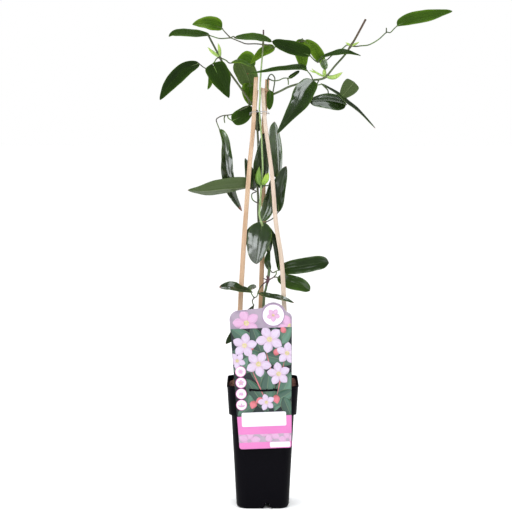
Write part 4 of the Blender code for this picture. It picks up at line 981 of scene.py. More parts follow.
# The pot: rings of its outside as (height, half width, corner radius)
POT_HEIGHT = 193.0
POT_WALL = 1.2
POT_FLOOR = 1.5
COLLAR_BOTTOM = 147.0
COLLAR_TOP_HALF = 54.25
CORNER_STEPS = 14
POT_OUTER = (
    (0.0, 37.5, 15.0), (0.5, 38.3, 15.7), (1.5, 39.2, 16.5), (3.0, 40.0, 17.0), (5.0, 40.6, 17.5),
    (45.0, 42.7, 17.0), (85.0, 44.8, 16.5), (116.0, 46.4, 16.0),
    (COLLAR_BOTTOM - 0.5, 47.95, 15.5), (COLLAR_BOTTOM - 0.1, 48.15, 15.5), (COLLAR_BOTTOM, 48.6, 15.4),
    (COLLAR_BOTTOM + 0.1, 50.9, 14.7), (COLLAR_BOTTOM + 0.3, 51.5, 14.5), (COLLAR_BOTTOM + 0.9, 51.8, 14.5),
    (168.0, 53.0, 14.0), (189.8, COLLAR_TOP_HALF, 13.5),
    (190.0, 54.6, 13.5), (190.3, 54.9, 13.5), (190.8, 55.0, 13.5), (192.1, 55.0, 13.5),
    (192.7, 54.85, 13.4), (POT_HEIGHT, 54.4, 13.1),
)
POT_RIM = (POT_HEIGHT, 53.3, 12.4)
CHANNEL_FOOT = 12.5
CHANNEL_CROWN = 6.3
CHANNEL_HEIGHT = 9.4
CHANNEL_SHIFT = 6.5
RIDGE_LOW = 0.8
DRAIN_RADIUS = 2.5
DRAIN_OFFSET = 22.0

# The card: a tapering tag with a round bulge, hung by its slot on the pot's toothed bar
CARD_PLANE = -56.6
CARD_THICK = 0.8
CARD_TILT = math.radians(2.1)
CARD_SLOT_CENTER = (0.9, 187.9)
CARD_BOTTOM = -90.0
CARD_TOP = 123.6
CARD_HALF_BOTTOM = 39.6
CARD_HALF_TOP = 47.2
CARD_CORNER_LEFT = 14.0
CARD_CORNER_RIGHT = 9.0
CARD_CORNER_BOTTOM = 4.0
BULGE_CENTER = (19.1, 113.7)
BULGE_RADIUS = 19.4
SLOT_MARGIN = 0.7
BAR_HALF_LENGTH = 21.6
BAR_HEIGHT = 2.9
BAR_SAG = 0.8
BAR_END_FLARE = 1.1
BAR_END_LENGTH = 3.0
BAR_FRONT = -58.0
BAR_BACK = -53.4
TOOTH_PLACES = (-6.2, 5.3, 15.8)
TOOTH_HALF = 0.8
TOOTH_HEIGHT = 1.2

GAP = 0.35
SOIL_TOP = 181.0


def square_ring(half, radius):
    """The points of a rounded square, in order round the axis."""
    points = []
    for quarter in range(4):
        middle = math.radians(45 + 90 * quarter)
        center = Vector((math.cos(middle), math.sin(middle))) * (half - radius) * math.sqrt(2)
        for k in range(CORNER_STEPS + 1):
            angle = middle + math.radians(90) * (k / CORNER_STEPS - 0.5)
            points.append(center + radius * Vector((math.cos(angle), math.sin(angle))))
    return points


def add_loft(shape, rings):
    """A closed solid through rounded squares given as (height, half width, corner radius)."""
    loops = []
    for height, half, radius in rings:
        loops.append([shape.verts.new((p.x * MM, p.y * MM, height * MM)) for p in square_ring(half, radius)])
    for lower, upper in zip(loops, loops[1:]):
        for k in range(len(lower)):
            after = (k + 1) % len(lower)
            shape.faces.new((lower[k], lower[after], upper[after], upper[k]))
    shape.faces.new(reversed(loops[0]))
    shape.faces.new(loops[-1])


def mesh_object(name, shape):
    """The finished bmesh as an object on the pot's axis."""
    bmesh.ops.recalc_face_normals(shape, faces=shape.faces)
    mesh = bpy.data.meshes.new(name)
    shape.to_mesh(mesh)
    shape.free()
    obj = bpy.data.objects.new(name, mesh)
    obj.location = AXIS
    bpy.context.scene.collection.objects.link(obj)
    return obj


def channel_prism(name, along_x, margin, low, length):
    """A bar with the drain channel's section, widened by the margin. The channel from front to back
    lies right of the middle."""
    foot = CHANNEL_FOOT / 2 + margin
    crown = CHANNEL_CROWN / 2 + margin
    top = CHANNEL_HEIGHT + margin
    section = [(-foot, low), (foot, low), (crown, top), (-crown, top)]
    shape = bmesh.new()
    ends = []
    for reach in (-length / 2, length / 2):
        if along_x:
            places = [(reach, side, high) for side, high in section]
        else:
            places = [(side + CHANNEL_SHIFT, reach, high) for side, high in section]
        ends.append([shape.verts.new(Vector(place) * MM) for place in places])
    shape.faces.new(ends[0])
    shape.faces.new(ends[1])
    for k in range(4):
        after = (k + 1) % 4
        shape.faces.new((ends[0][k], ends[0][after], ends[1][after], ends[1][k]))
    return mesh_object(name, shape)


def combined(obj, cutters):
    """The object after each (cutter, operation), applied, with the cutters removed."""
    for cutter, operation in cutters:
        modifier = obj.modifiers.new(operation.title(), "BOOLEAN")
        modifier.operation = operation
        modifier.object = cutter
    bpy.context.view_layer.update()
    graph = bpy.context.evaluated_depsgraph_get()
    mesh = bpy.data.meshes.new_from_object(obj.evaluated_get(graph))
    obj.modifiers.clear()
    obj.data = mesh
    for cutter, _ in cutters:
        bpy.data.objects.remove(cutter, do_unlink=True)
    return obj


def finish_piece(obj, node, skin, sharp, stands_for=True):
    """Shades a piece, gives it its material and seats it."""
    obj.data.materials.clear()
    obj.data.materials.append(skin)
    obj.data.shade_smooth()
    obj.data.set_sharp_from_angle(angle=math.radians(sharp))
    seat(obj, node, stands_for)


def pot_inner(gap):
    """The rings of the pot's inside, from the floor up, drawn in by a gap."""
    inset = POT_WALL + gap
    return [
        (POT_FLOOR + gap, 39.2 - inset, 15.5),
        (5.0, 40.6 - inset, 16.3),
        (85.0, 44.8 - inset, 15.3),
        (COLLAR_BOTTOM + POT_WALL + gap, 48.05 - inset, 14.3),
        (COLLAR_BOTTOM + POT_WALL + gap + 0.2, 51.75 - inset, 13.3),
    ]


def bar_outline(margin, turn=0.0):
    """The toothed bar's outline about its own center, grown by the margin and turned."""
    reach = BAR_HALF_LENGTH + margin
    inner = BAR_HALF_LENGTH - BAR_END_LENGTH - margin
    upper = [(-reach, 0.0), (-inner, 0.0)]
    for place in TOOTH_PLACES:
        left = place - TOOTH_HALF - margin / 2
        right = place + TOOTH_HALF + margin / 2
        upper += [(left, 0.0), (left, TOOTH_HEIGHT), (right, TOOTH_HEIGHT), (right, 0.0)]
    upper += [(reach, 0.0)]
    lower = [(reach, -BAR_END_FLARE), (inner, -BAR_END_FLARE), (inner, 0.0)]
    lower += [(inner * k / 4, 0.0) for k in (2, 0, -2)]
    lower += [(-inner, 0.0), (-inner, -BAR_END_FLARE), (-reach, -BAR_END_FLARE)]
    points = [(x, z + BAR_HEIGHT / 2 + margin) for x, z in upper]
    points += [(x, z - BAR_HEIGHT / 2 - margin) for x, z in lower]
    outline = []
    for x, z in points:
        z += BAR_SAG * (2 * (x / BAR_HALF_LENGTH) ** 2 - 1)
        outline.append((x * math.cos(turn) + z * math.sin(turn), z * math.cos(turn) - x * math.sin(turn)))
    return outline


def arc(center, radius, start, end, steps):
    """Points on a circle's arc, angles in degrees."""
    points = []
    for k in range(steps + 1):
        angle = math.radians(start + (end - start) * k / steps)
        points.append((center[0] + radius * math.cos(angle), center[1] + radius * math.sin(angle)))
    return points


def card_outline():
    """The card's outline about its slot, anticlockwise from the lower left corner."""
    low = CARD_CORNER_BOTTOM
    left = CARD_CORNER_LEFT
    right = CARD_CORNER_RIGHT
    points = arc((-CARD_HALF_BOTTOM + low, CARD_BOTTOM + low), low, 180, 270, 10)
    points += arc((CARD_HALF_BOTTOM - low, CARD_BOTTOM + low), low, 270, 360, 10)
    points += arc((CARD_HALF_TOP - right, CARD_TOP - 6.0 - right), right, 0, 65, 14)
    entry = math.degrees(math.asin((CARD_TOP - 3.5 - BULGE_CENTER[1]) / BULGE_RADIUS))
    leave = math.degrees(math.asin((CARD_TOP + 1.5 - BULGE_CENTER[1]) / BULGE_RADIUS))
    points += arc(BULGE_CENTER, BULGE_RADIUS, entry, 180 - leave, 40)
    points += arc((-CARD_HALF_TOP + left, CARD_TOP - 1.0 - left), left, 95, 180, 16)
    return points


def flat_plate(name, outlines, thick):
    """A plate in the XZ plane from closed outlines, the later ones holes, centered on y = 0."""
    curve = bpy.data.curves.new(name, "CURVE")
    curve.dimensions = "2D"
    curve.fill_mode = "BOTH"
    curve.extrude = thick / 2 * MM
    for outline in outlines:
        spline = curve.splines.new("POLY")
        spline.points.add(len(outline) - 1)
        for point, (x, y) in zip(spline.points, outline):
            point.co = (x * MM, y * MM, 0.0, 1.0)
        spline.use_cyclic_u = True
    guide = bpy.data.objects.new(name + "_guide", curve)
    bpy.context.scene.collection.objects.link(guide)
    guide.rotation_euler = (math.radians(90), 0.0, 0.0)
    bpy.context.view_layer.update()
    graph = bpy.context.evaluated_depsgraph_get()
    shape = bmesh.new()
    shape.from_mesh(guide.evaluated_get(graph).to_mesh())
    shape.transform(guide.matrix_world)
    bpy.data.objects.remove(guide)
    bpy.data.curves.remove(curve)
    bmesh.ops.remove_doubles(shape, verts=shape.verts, dist=0.00002)
    return mesh_object(name, shape)


POT_FOOT_HALF = 40.6
CHANNEL_REACH = 125.0
DRAIN_SIDES = 32
DRAIN_DEPTH = 6.0


def build_pot():
    """The pot: a loft with its drain channels, their ridges, the drain holes and the toothed bar."""
    shape = bmesh.new()
    add_loft(shape, [*POT_OUTER, POT_RIM, *reversed(pot_inner(0.0))])
    pot = mesh_object("pot_body", shape)
    inside = 2 * (POT_FOOT_HALF - POT_WALL / 2)
    cutters = []
    for along_x in (True, False):
        cutters.append((channel_prism("ridge", along_x, POT_WALL, RIDGE_LOW, inside), "UNION"))
    for along_x in (True, False):
        cutters.append((channel_prism("channel", along_x, 0.0, -1.0, CHANNEL_REACH), "DIFFERENCE"))
    for x in (-DRAIN_OFFSET, DRAIN_OFFSET):
        for y in (-DRAIN_OFFSET, DRAIN_OFFSET):
            shape = bmesh.new()
            size = {"radius1": DRAIN_RADIUS * MM, "radius2": DRAIN_RADIUS * MM, "depth": DRAIN_DEPTH * MM}
            bmesh.ops.create_cone(shape, cap_ends=True, segments=DRAIN_SIDES, **size)
            bmesh.ops.translate(shape, verts=shape.verts, vec=Vector((x, y, 0)) * MM)
            cutters.append((mesh_object("drain", shape), "DIFFERENCE"))
    bar = flat_plate("label_bar", [bar_outline(0.0)], BAR_BACK - BAR_FRONT)
    middle_x, middle_z = CARD_SLOT_CENTER
    bar.location = AXIS + Vector((middle_x, (BAR_FRONT + BAR_BACK) / 2, middle_z)) * MM
    cutters.append((bar, "UNION"))
    finish_piece(combined(pot, cutters), "pot", pot_material(), 32)


def hang_on_bar(piece, depth):
    """Places a piece made about the card's slot in the card's tilted plane."""
    middle_x, middle_z = CARD_SLOT_CENTER
    piece.location = AXIS + Vector((middle_x, depth, middle_z)) * MM
    piece.rotation_euler = (0.0, -CARD_TILT, 0.0)
    bpy.context.view_layer.update()


def build_card():
    plate = flat_plate("card_sheet", [card_outline(), bar_outline(SLOT_MARGIN, CARD_TILT)], CARD_THICK)
    hang_on_bar(plate, CARD_PLANE)
    edge = plate.modifiers.new("Edge", "BEVEL")
    edge.width = 0.12 * MM
    edge.segments = 2
    edge.limit_method = "ANGLE"
    finish_piece(plate, "label", ink("card_white", (0.82, 0.80, 0.83), (0.86, 0.85, 0.87)), sharp=30)


# The card's print, in mm about the card's slot: bands by height, then motifs laid on them
PRINT_STEP = 0.03
BAND_TOP = 94.7
BAND_LOW = -39.9
PALE_BAND = (-80.0, -67.6)
DISC_RADIUS = 15.9
PANEL = (-34.4, 33.0, -55.6, -34.0)
PATCH = (7.0, 37.6, -88.6, -80.4)
ICON_RADIUS = 8.2
ICON_PLACES = ((-33.6, 29.4), (-33.5, 12.3), (-33.8, -4.6), (-33.9, -21.8))
BLOSSOMS = (
    # x, height, radius, turn in degrees
    (-26, 69, 19, 8), (12, 77, 21, 42), (38, 55, 17, 10), (-6, 40, 20, 62), (24, 24, 18, 24),
    (-38, 46, 13, 50), (4, -19, 13, 30),
)
SPRAYS = (
    # root x, root height, heading in degrees, length, half width, shade
    (-46, 96, -38, 60, 11, 0.6), (-14, 98, -72, 56, 11, 0.1), (46, 98, -128, 66, 12, 0.9),
    (20, 96, -88, 50, 10, 0.4), (-46, 60, -16, 62, 12, 0.2), (48, 66, -160, 64, 12, 0.5),
    (-44, 30, 22, 62, 12, 0.9), (48, 40, -196, 60, 11, 0.2), (-20, 54, -64, 62, 11, 0.6),
    (44, 26, -116, 66, 12, 0.9), (10, 30, -98, 66, 12, 0.4), (-26, 18, -58, 62, 11, 0.1),
    (46, -2, -150, 48, 10, 0.5), (-22, -6, -96, 34, 9, 0.7), (30, -12, -70, 34, 9, 0.2),
    (-40, -38, 30, 34, 8, 0.4),
)
TWIGS = ((-17, 33, -68, 52), (6, 60, -78, 46), (34, 46, -104, 58))
BUDS = (
    # x, height, heading in degrees, length, half width
    (0, -14, 200, 13, 5.2), (20, 52, 70, 12, 4.8), (18, -8, -80, 14, 5.4), (-13, 62, 140, 10, 3.8),
    (36, 86, 120, 11, 4.4), (-14, -16, -110, 13, 5.6),
)


def card_half(z):
    """The card's half width at a height."""
    start = CARD_BOTTOM + CARD_CORNER_BOTTOM
    share = (z - start) / (CARD_TOP - 6.0 - CARD_CORNER_RIGHT - start)
    return CARD_HALF_BOTTOM + (CARD_HALF_TOP - CARD_HALF_BOTTOM) * share


def cut_outline(outline, low, high):
    """The part of a closed outline between two heights."""
    for level, sign in ((low, 1.0), (high, -1.0)):
        kept = []
        for k, (x, z) in enumerate(outline):
            before_x, before_z = outline[k - 1]
            inside = (z - level) * sign >= 0
            if inside != ((before_z - level) * sign >= 0):
                share = (level - before_z) / (z - before_z)
                kept.append((before_x + (x - before_x) * share, level))
            if inside:
                kept.append((x, z))
        outline = kept
    return outline


LENS_STEPS = 14
MOTIF_STEP = 0.004
TOP_BLOSSOMS = ((-22, 103, 21, 33), (44, 96, 20, 50))
PALE_BLOSSOMS = ((-24, -78, 17, 10), (8, -66, 16, 40), (34, -78, 14, 25))


def print_plate(name, outlines, layer, skin):
    """A thin printed area on the card's face."""
    plate = flat_plate(name, outlines, PRINT_STEP * (layer + 1))
    hang_on_bar(plate, CARD_PLANE - (CARD_THICK + PRINT_STEP * (layer + 1)) / 2)
    finish_piece(plate, "label", skin, 30, False)


def rounded_box(left, right, low, high, corner):
    points = []
    for x, z, start in ((left, low, 180), (right, low, 270), (right, high, 0), (left, high, 90)):
        inner = (x + corner if x == left else x - corner, z + corner if z == low else z - corner)
        points += arc(inner, corner, start, start + 90, 6)
    return points


class Print:
    """Motifs drawn as thin lenses and discs on the card's face, each a little above the last."""

    def __init__(self, low, high, inset=0.5, raised=0):
        self.patch = Patchwork("print_place")
        self.low, self.high, self.inset, self.raised = low, high, inset, raised

    def spot(self, x, z, lift, shade):
        """A point of a motif, kept inside the card's edge and the motif's band."""
        z = max(self.low, min(self.high, z))
        edge = card_half(z) - self.inset
        x = max(-edge, min(edge, x))
        return self.patch.vert(Vector((x, -CARD_THICK / 2 - lift, z)) * MM, print_place=shade)

    def lens(self, x, z, heading, length, half, slot, blunt=0.5, shade=0.0):
        """A petal, leaf or bud from its root (x, z): blunt is where along it is widest."""
        self.raised += 1
        turn = math.radians(heading)
        ahead = Vector((math.cos(turn), math.sin(turn)))
        aside = Vector((-ahead.y, ahead.x))
        power = math.log(0.5) / math.log(blunt)
        front, back = [], []
        for k in range(LENS_STEPS + 1):
            share = k / LENS_STEPS
            width = half * math.sin(math.pi * min(max(share, 0.004), 0.996) ** power) ** 0.8
            spine = Vector((x, z)) + ahead * length * share
            for rows, lift in ((front, PRINT_STEP * 2 + MOTIF_STEP * self.raised), (back, 0.0)):
                row = []
                for side in (-1.0, -0.5, 0.0, 0.5, 1.0):
                    place = spine + aside * width * side
                    row.append(self.spot(place.x, place.y, lift, (share, side, shade)))
                rows.append(row)
        self.patch.slab(front, back, slot)

    def blossom(self, x, z, radius, turn, petal_slot, heart_slot):
        """Five broad petals about a small pale heart."""
        for k in range(5):
            self.lens(x, z, turn + 72 * k, radius, radius * 0.34, petal_slot, 0.58, k % 3 / 2.0)
        for k in range(9):
            self.lens(x, z, turn + 20 + 40 * k, radius * 0.22, radius * 0.045, heart_slot, 0.7)

    def piece(self, name, *materials):
        """The finished motifs, without the faces that the band's edge flattened."""
        printed = self.patch.piece(name, *materials)
        shape = bmesh.new()
        shape.from_mesh(printed.data)
        bmesh.ops.dissolve_degenerate(shape, dist=0.000001, edges=shape.edges)
        shape.to_mesh(printed.data)
        shape.free()
        hang_on_bar(printed, CARD_PLANE)
        seat(printed, "label", False)


def build_print():
    outline = card_outline()
    slot = bar_outline(SLOT_MARGIN, CARD_TILT)
    lilac = ink("ink_lilac", (0.220, 0.175, 0.235), (0.300, 0.245, 0.305), 30.0)
    night = ink("ink_night", (0.004, 0.006, 0.010), (0.007, 0.016, 0.015), 45.0)
    pink = ink("ink_pink", (0.520, 0.145, 0.365), (0.540, 0.160, 0.380), 20.0)
    grey_pink = ink("ink_grey_pink", (0.300, 0.245, 0.305), (0.350, 0.275, 0.340), 40.0)
    white = ink("ink_white", (0.640, 0.620, 0.670), (0.660, 0.640, 0.680), 20.0)
    rim = ink("ink_rim", (0.250, 0.170, 0.260), (0.280, 0.190, 0.290), 30.0)
    heart = ink("ink_heart", (0.400, 0.350, 0.110), (0.520, 0.460, 0.240), 300.0)
    petal = petal_ink("ink_petal", (0.430, 0.300, 0.370), (0.480, 0.415, 0.530), (0.430, 0.305, 0.440))
    blush = petal_ink("ink_blush", (0.460, 0.225, 0.370), (0.490, 0.300, 0.450), (0.460, 0.250, 0.400))
    bud = petal_ink("ink_bud", (0.260, 0.045, 0.045), (0.500, 0.130, 0.160), (0.380, 0.085, 0.100))
    print_plate("print_top", [cut_outline(outline, BAND_TOP, CARD_TOP + 20.0)], 0, lilac)
    print_plate("print_picture", [cut_outline(outline, BAND_LOW, BAND_TOP), slot], 0, night)
    print_plate("print_base", [cut_outline(outline, CARD_BOTTOM, BAND_LOW)], 0, pink)
    print_plate("print_pale_band", [cut_outline(outline, *PALE_BAND)], 1, grey_pink)

    picture = Print(BAND_LOW, BAND_TOP)
    for x, z, heading, length, half, shade in SPRAYS:
        picture.lens(x, z, heading, length, half, 0, 0.45, shade)
    for x, z, heading, length in TWIGS:
        picture.lens(x, z, heading, length, 0.9, 3, 0.5, 0.5)
    for x, z, heading, length, half in BUDS:
        picture.lens(x, z, heading, length, half, 3, 0.45)
    above = Print(BAND_TOP, CARD_TOP - 3.0, 2.0)
    below = Print(*PALE_BAND)
    for motifs, blossoms, slots in (
        (picture, BLOSSOMS, (1, 2)), (above, TOP_BLOSSOMS, (0, 1)), (below, PALE_BLOSSOMS, (0, 1)),
    ):
        for x, z, radius, turn in blossoms:
            motifs.blossom(x, z, radius, turn, *slots)
    picture.piece("print_motifs", leaf_ink(), petal, heart, bud)
    above.piece("print_top_motifs", blush, heart)
    below.piece("print_pale_motifs", blush, grey_pink)

    print_plate("print_panel", [rounded_box(*PANEL, 2.4)], 13, white)
    print_plate("print_patch", [rounded_box(*PATCH, 2.0)], 3, white)
    print_plate("print_disc_rim", [arc(BULGE_CENTER, DISC_RADIUS + 1.6, 0, 354, 59)], 12, rim)
    print_plate("print_disc", [arc(BULGE_CENTER, DISC_RADIUS, 0, 354, 59)], 13, white)
    for index, center in enumerate(ICON_PLACES):
        print_plate(f"print_icon_rim_{index}", [arc(center, ICON_RADIUS, 0, 351, 39)], 16, pink)
        print_plate(f"print_icon_{index}", [arc(center, ICON_RADIUS - 0.9, 0, 351, 39)], 17, white)

    marks = Print(CARD_BOTTOM, CARD_TOP, raised=130)
    sun, bloom, drop, sprig = ICON_PLACES
    for k in range(10):
        marks.lens(*sun, 36 * k, 5.4, 0.7, 0)
    marks.blossom(*bloom, 5.0, 18, 0, 1)
    for x, lean in ((-2.4, 84), (0.0, 90), (2.4, 96)):
        marks.lens(drop[0] + x, drop[1] - 3.0, lean, 6.0, 1.2, 0, 0.35)
    for heading in (30, 90, 150):
        marks.lens(sprig[0], sprig[1] - 3.4, heading, 6.6, 1.5, 0)
    marks.blossom(*BULGE_CENTER, 10.5, 54, 0, 1)
    marks.piece("print_marks", blush, heart)


def rounded_radius(half, corner, angle):
    """How far a rounded square reaches from its middle in a direction."""
    c, s = abs(math.cos(angle)), abs(math.sin(angle))
    reach = half / max(c, s)
    inner = half - corner
    if c * reach > inner and s * reach > inner:
        along = (c + s) * inner
        reach = along + math.sqrt(along**2 - 2 * inner**2 + corner**2)
    return reach


def soil_height(x, y):
    """The mix's surface at a place in mm: soft heaps, lumps and crumbs."""
    heap = 1.2 * noise.noise(Vector((x / 26.0, y / 26.0, 2.0)))
    lumps = 2.0 * noise.noise(Vector((x / 8.0, y / 8.0, 5.0)))
    crumbs = 1.1 * noise.noise(Vector((x / 3.0, y / 3.0, 9.0)))
    right, left = smooth_step(x, 26.0, 42.0), smooth_step(-x, 28.0, 42.0)
    banks = 4.5 * right + 3.0 * left + (4.0 * right + 2.5 * left) * smooth_step(y, -10.0, 36.0)
    return SOIL_TOP + heap + lumps + crumbs + banks


SOIL_CORNER = 12.5
SOIL_HALF = COLLAR_TOP_HALF - POT_WALL - GAP - 0.9
CRUST_RINGS = 44
CRUST_SPOKES = 180
CRUST_DROP = 1.6
FIBRE_DICE = 21
FIBRE_STEPS = 6
FIBRE_BATCHES = (
    # lowest and highest arch in mm, and how many
    (0.0, 1.8, 620), (1.5, 6.0, 240),
)
CRUMB_COUNT = 260


def build_soil():
    """The mix: its block in the pot, its lumpy surface, and what lies loose on it."""
    body = bmesh.new()
    add_loft(body, [*pot_inner(GAP), (SOIL_TOP - 6.0, SOIL_HALF, SOIL_CORNER)])
    block = mesh_object("soil_block", body)
    grooves = [
        (channel_prism("groove", along_x, POT_WALL + GAP, RIDGE_LOW, 160.0), "DIFFERENCE")
        for along_x in (True, False)
    ]
    finish_piece(combined(block, grooves), "soil", soil_material(), 30)

    crust = Patchwork()
    half = SOIL_HALF + 0.2

    def ring_of(half, share, height):
        """A ring of the crust: a share of the way out to a half width, at height(x, y)."""
        ring = []
        for k in range(CRUST_SPOKES):
            angle = math.tau * k / CRUST_SPOKES
            reach = rounded_radius(half, SOIL_CORNER, angle) * share
            x, y = reach * math.cos(angle), reach * math.sin(angle)
            ring.append(crust.vert(AXIS + Vector((x, y, height(x, y))) * MM))
        return ring

    middle = crust.vert(AXIS + Vector((0.0, 0.0, soil_height(0.0, 0.0))) * MM)
    rows = []
    for ring in range(1, CRUST_RINGS + 1):
        drop = CRUST_DROP * smooth_step(ring / CRUST_RINGS, 0.88, 1.0)
        rows.append(ring_of(half, ring / CRUST_RINGS, lambda x, y: soil_height(x, y) - drop))
    foot = ring_of(half - 0.3, 1.0, lambda x, y: SOIL_TOP - 9.0)
    crust.fan(middle, rows[0])
    for lower, upper in zip(rows, rows[1:]):
        crust.bridge(upper, lower)
    crust.bridge(foot, rows[-1])
    crust.face(tuple(reversed(foot)))
    seat(crust.piece("soil_crust", soil_material()), "soil")
    build_fibres(SOIL_HALF)


def build_fibres(half):
    """Loose coir fibres and bark crumbs that lie on the mix."""
    dice = random.Random(FIBRE_DICE)
    fibres = Patchwork()
    for low, high, count in FIBRE_BATCHES:
        for _ in range(count):
            x, y = dice.uniform(-0.93, 0.93) * half, dice.uniform(-0.93, 0.93) * half
            heading = dice.uniform(0.0, math.tau)
            length = dice.uniform(3.0, 13.0)
            bend = dice.uniform(-1.4, 1.4)
            lift = dice.uniform(low, high)
            route = []
            for k in range(FIBRE_STEPS + 1):
                share = k / FIBRE_STEPS
                turn = heading + bend * share
                x += math.cos(turn) * length / FIBRE_STEPS
                y += math.sin(turn) * length / FIBRE_STEPS
                if abs(x) > half - 2.0 or abs(y) > half - 2.0 or abs(x) + abs(y) > 1.72 * half:
                    break
                z = soil_height(x, y) + 0.15 + lift * math.sin(math.pi * share)
                route.append(AXIS + Vector((x, y, z)) * MM)
            if len(route) > 3:
                thick = dice.uniform(0.13, 0.30) * MM
                sweep(fibres, route, [thick] * (len(route) - 1) + [thick * 0.4], 5)
    for _ in range(CRUMB_COUNT):
        x, y = dice.uniform(-0.9, 0.9) * half, dice.uniform(-0.9, 0.9) * half
        if abs(x) + abs(y) > 1.65 * half:
            continue
        center = AXIS + Vector((x, y, soil_height(x, y) + 0.3)) * MM
        heading = Vector((dice.uniform(-1, 1), dice.uniform(-1, 1), dice.uniform(-0.4, 0.4))).normalized()
        size = dice.uniform(0.7, 2.6) * MM
        route = [center + heading * size * reach for reach in (-1.0, -0.6, 0.2, 0.8, 1.0)]
        radii = [size * share for share in (0.25, 0.55, 0.65, 0.5, 0.2)]
        sweep(fibres, route, radii, 6, lambda angle, share: 0.8 + 0.3 * math.sin(2.0 * angle + 4.0 * share))
    seat(fibres.piece("soil_fibres", fibre_material()), "soil", False)


def add_cane(patch, points, first, final, slant, seed):
    """A sawn square cane with uneven sides, soft corners and a rough, slanting top."""
    route = resampled([placed(point) for point in points], CANE_STEP * MM)
    last = len(route) - 1
    rings = []
    for index, (place, (side, over)) in enumerate(zip(route, turned_frames(route))):
        share = index / last
        half = first + (final - first) * share
        ring = []
        for k in range(CANE_SIDES):
            angle = math.tau * (k + 0.5) / CANE_SIDES
            across, deep = math.cos(angle), math.sin(angle)
            square = (abs(across) ** CANE_SQUARENESS + abs(deep) ** CANE_SQUARENESS) ** (-1 / CANE_SQUARENESS)
            rough = noise.noise(Vector((across * 1.5, deep * 1.5 + seed * 5.0, share * 16.0)))
            fine = noise.noise(Vector((across * 5.0, deep * 5.0 + seed * 5.0, share * 5.0)))
            reach = half * (square * (0.975 + 0.035 * rough + 0.025 * fine)) * MM
            spot = place + side * across * reach + over * deep * reach
            if index == last:
                splinter = 0.9 * noise.noise(Vector((across * 3.0, deep * 3.0, seed + 0.5)))
                drop = 1.0 + abs(slant) / 2 + slant * across / 2 + splinter
                spot -= Vector((0.0, 0.0, max(0.1, drop) * MM))
            ring.append(patch.vert(spot))
        rings.append(ring)
    for lower, upper in zip(rings, rings[1:]):
        patch.bridge(lower, upper)
    patch.face(tuple(reversed(rings[0])))
    patch.fan(patch.vert(route[-1] - Vector((0.0, 0.0, (1.2 + abs(slant) / 2) * MM))), rings[-1])


CANE_FINISHES = {
    # pale wood, darker wood, how far its cut top slants in mm
    "cane_left": ((0.480, 0.345, 0.235), (0.330, 0.205, 0.120), 1.2),
    "cane_right": ((0.520, 0.430, 0.355), (0.400, 0.310, 0.235), -3.0),
    "cane_back": ((0.500, 0.335, 0.200), (0.320, 0.180, 0.095), 2.0),
}


def build_canes():
    for seed, (name, (light, dark, slant)) in enumerate(CANE_FINISHES.items()):
        points, (first, final) = CANES[name]
        patch = Patchwork()
        add_cane(patch, points, first, final, slant, seed)
        if name == "cane_left":
            add_cane(patch, SPLIT_PRONG, SPLIT_HALF, SPLIT_HALF * 0.8, 2.5, 7)
        title = f"{name}_wood"
        wood = cane_material(title, light, dark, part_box(name)[1].z)
        seat(patch.piece(title, wood, sharp=34), name)


def build_tie():
    """The wire round the canes."""
    wire = Patchwork()
    route = resampled([placed(point) for point in TIE_ROUTE], WIRE_STEP * MM)
    sweep(wire, route, [TIE_RADIUS * MM] * len(route), STALK_SIDES)
    seat(wire.piece("tie_loop", wire_material()), "tie_wire")


ROOM_LIGHT = 0.12
SUN_STRENGTH = 3.7
SUN_ANGLE = math.radians(110)
SUN_FROM = (-0.22, -0.26, 1.0)
FLOOR_SIZE = 60.0
FLOOR_GREY = (0.95, 0.95, 0.95)
COOL_WHITE = (0.94, 0.97, 1.0)
LIGHT_TARGET = Vector((0.0, 0.0, 0.45))
LIGHTS = (
    # name, place, width, height, watts
    ("left_box", (-1.6, -1.6, 1.35), 1.00, 0.55, 12.0),
    ("high_box", (0.24, -1.70, 2.40), 0.70, 0.50, 9.0),
    ("high_right_box", (0.77, -0.92, 2.65), 0.80, 0.80, 9.0),
    ("low_left_box", (-1.05, -2.25, 0.34), 0.60, 0.60, 8.0),
    ("low_right_box", (0.44, -2.45, 0.36), 0.62, 0.60, 11.0),
    ("left_strip", (-2.1, -0.2, 0.8), 0.25, 1.30, 9.0),
    ("right_strip", (2.1, -0.35, 0.95), 0.40, 1.20, 9.0),
    ("top", (0.0, 0.6, 2.4), 0.90, 0.60, 14.0),
)


def build_floor():
    bpy.ops.mesh.primitive_plane_add(size=FLOOR_SIZE, location=(0.0, 0.0, 0.0))
    floor = bpy.context.object
    floor.name = "floor"
    skin = Shader("floor_paint", roughness=0.7)
    tint = skin.noise(skin.places(), 3.0, 1.0)
    skin.colour(skin.mix(skin.step(tint, 0.3, 0.7), FLOOR_GREY, tuple(c * 0.99 for c in FLOOR_GREY)))
    floor.data.materials.append(skin.material)


def build_world():
    """A dim room that the camera sees as plain white."""
    world = bpy.data.worlds.new("studio")
    bpy.context.scene.world = world
    world.use_nodes = True
    tree = world.node_tree
    backdrop = tree.nodes["Background"]
    backdrop.inputs["Color"].default_value = (1.0, 1.0, 1.0, 1.0)
    room = tree.nodes.new("ShaderNodeBackground")
    room.inputs["Strength"].default_value = ROOM_LIGHT
    seen = tree.nodes.new("ShaderNodeLightPath")
    chosen = tree.nodes.new("ShaderNodeMixShader")
    tree.links.new(seen.outputs["Is Camera Ray"], chosen.inputs[0])
    tree.links.new(room.outputs[0], chosen.inputs[1])
    tree.links.new(backdrop.outputs[0], chosen.inputs[2])
    tree.links.new(chosen.outputs[0], tree.nodes["World Output"].inputs["Surface"])
    bpy.context.scene.view_settings.view_transform = "Standard"


def add_lamp(name, kind, watts):
    light = bpy.data.lights.new(name, kind)
    light.energy = watts
    lamp = bpy.data.objects.new(name, light)
    bpy.context.scene.collection.objects.link(lamp)
    return lamp


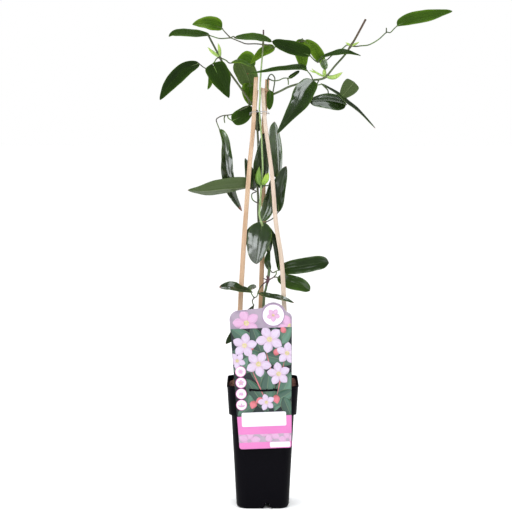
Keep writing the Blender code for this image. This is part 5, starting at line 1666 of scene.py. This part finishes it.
def build_lights():
    sun = add_lamp("sun", "SUN", SUN_STRENGTH)
    sun.data.angle = SUN_ANGLE
    sun.rotation_euler = Vector(SUN_FROM).to_track_quat("Z", "Y").to_euler()
    sun.visible_glossy = False
    for name, place, width, height, watts in LIGHTS:
        lamp = add_lamp(name, "AREA", watts)
        lamp.data.shape = "RECTANGLE"
        lamp.data.size = width
        lamp.data.size_y = height
        lamp.data.color = COOL_WHITE
        lamp.location = place
        lamp.rotation_euler = (LIGHT_TARGET - Vector(place)).to_track_quat("-Z", "Y").to_euler()


def build_camera():
    """The photograph's own view: the eye that the tables were drawn from."""
    camera = bpy.data.cameras.new("camera")
    camera.sensor_width = SENSOR
    camera.lens = LENS
    camera.clip_end = 100.0
    eye = bpy.data.objects.new("camera", camera)
    eye.location = AXIS + Vector((EYE_X, -EYE_DISTANCE, EYE_HEIGHT)) * MM
    eye.rotation_euler = (math.radians(90) - EYE_PITCH, 0.0, 0.0)
    bpy.context.scene.collection.objects.link(eye)
    bpy.context.scene.camera = eye


# Leaf skins: roughness, coat and cockle. Stems: rib, groove, node, tip, old share. Stalks: light, dark.
LEAF_SKINS = {
    "leaf_young": (0.34, 0.0, 1.6),
    "leaf_satin": (0.30, 0.22, 2.6),
    "leaf_glossy": (0.20, 1.0, 3.4),
}
STEM_YOUNG = (
    (0.350, 0.450, 0.210), (0.130, 0.220, 0.060), (0.100, 0.130, 0.030), (0.060, 0.030, 0.034), 0.48,
)
STEM_LEFT = ((0.110, 0.125, 0.045), (0.018, 0.028, 0.010), (0.045, 0.020, 0.022), (0.030, 0.050, 0.012))
STEM_RIGHT = ((0.120, 0.150, 0.050), (0.022, 0.038, 0.012), (0.060, 0.035, 0.020), (0.055, 0.030, 0.015))
STALK_OLIVE = ((0.085, 0.150, 0.030), (0.045, 0.035, 0.030))
STALK_GREEN = ((0.085, 0.145, 0.032), (0.032, 0.050, 0.017))


def build_vines():
    leaf_skins = [leaf_material(name, *finish) for name, finish in LEAF_SKINS.items()]
    bud = bud_material()
    olive = stalk_material("stalk_olive", *STALK_OLIVE)
    green = stalk_material("stalk_green", *STALK_GREEN)
    build_vine("vine_center", VINE_CENTER, leaf_skins, stem_material("stem_young", *STEM_YOUNG), olive, bud)
    build_vine("vine_left", VINE_LEFT, leaf_skins, stem_material("stem_left", *STEM_LEFT), olive, bud)
    build_vine("vine_right", VINE_RIGHT, leaf_skins, stem_material("stem_right", *STEM_RIGHT), green, bud)


def main():
    build_camera()
    build_floor()
    build_world()
    build_lights()
    build_vines()
    build_pot()
    build_soil()
    build_card()
    build_print()
    build_canes()
    build_tie()


main()
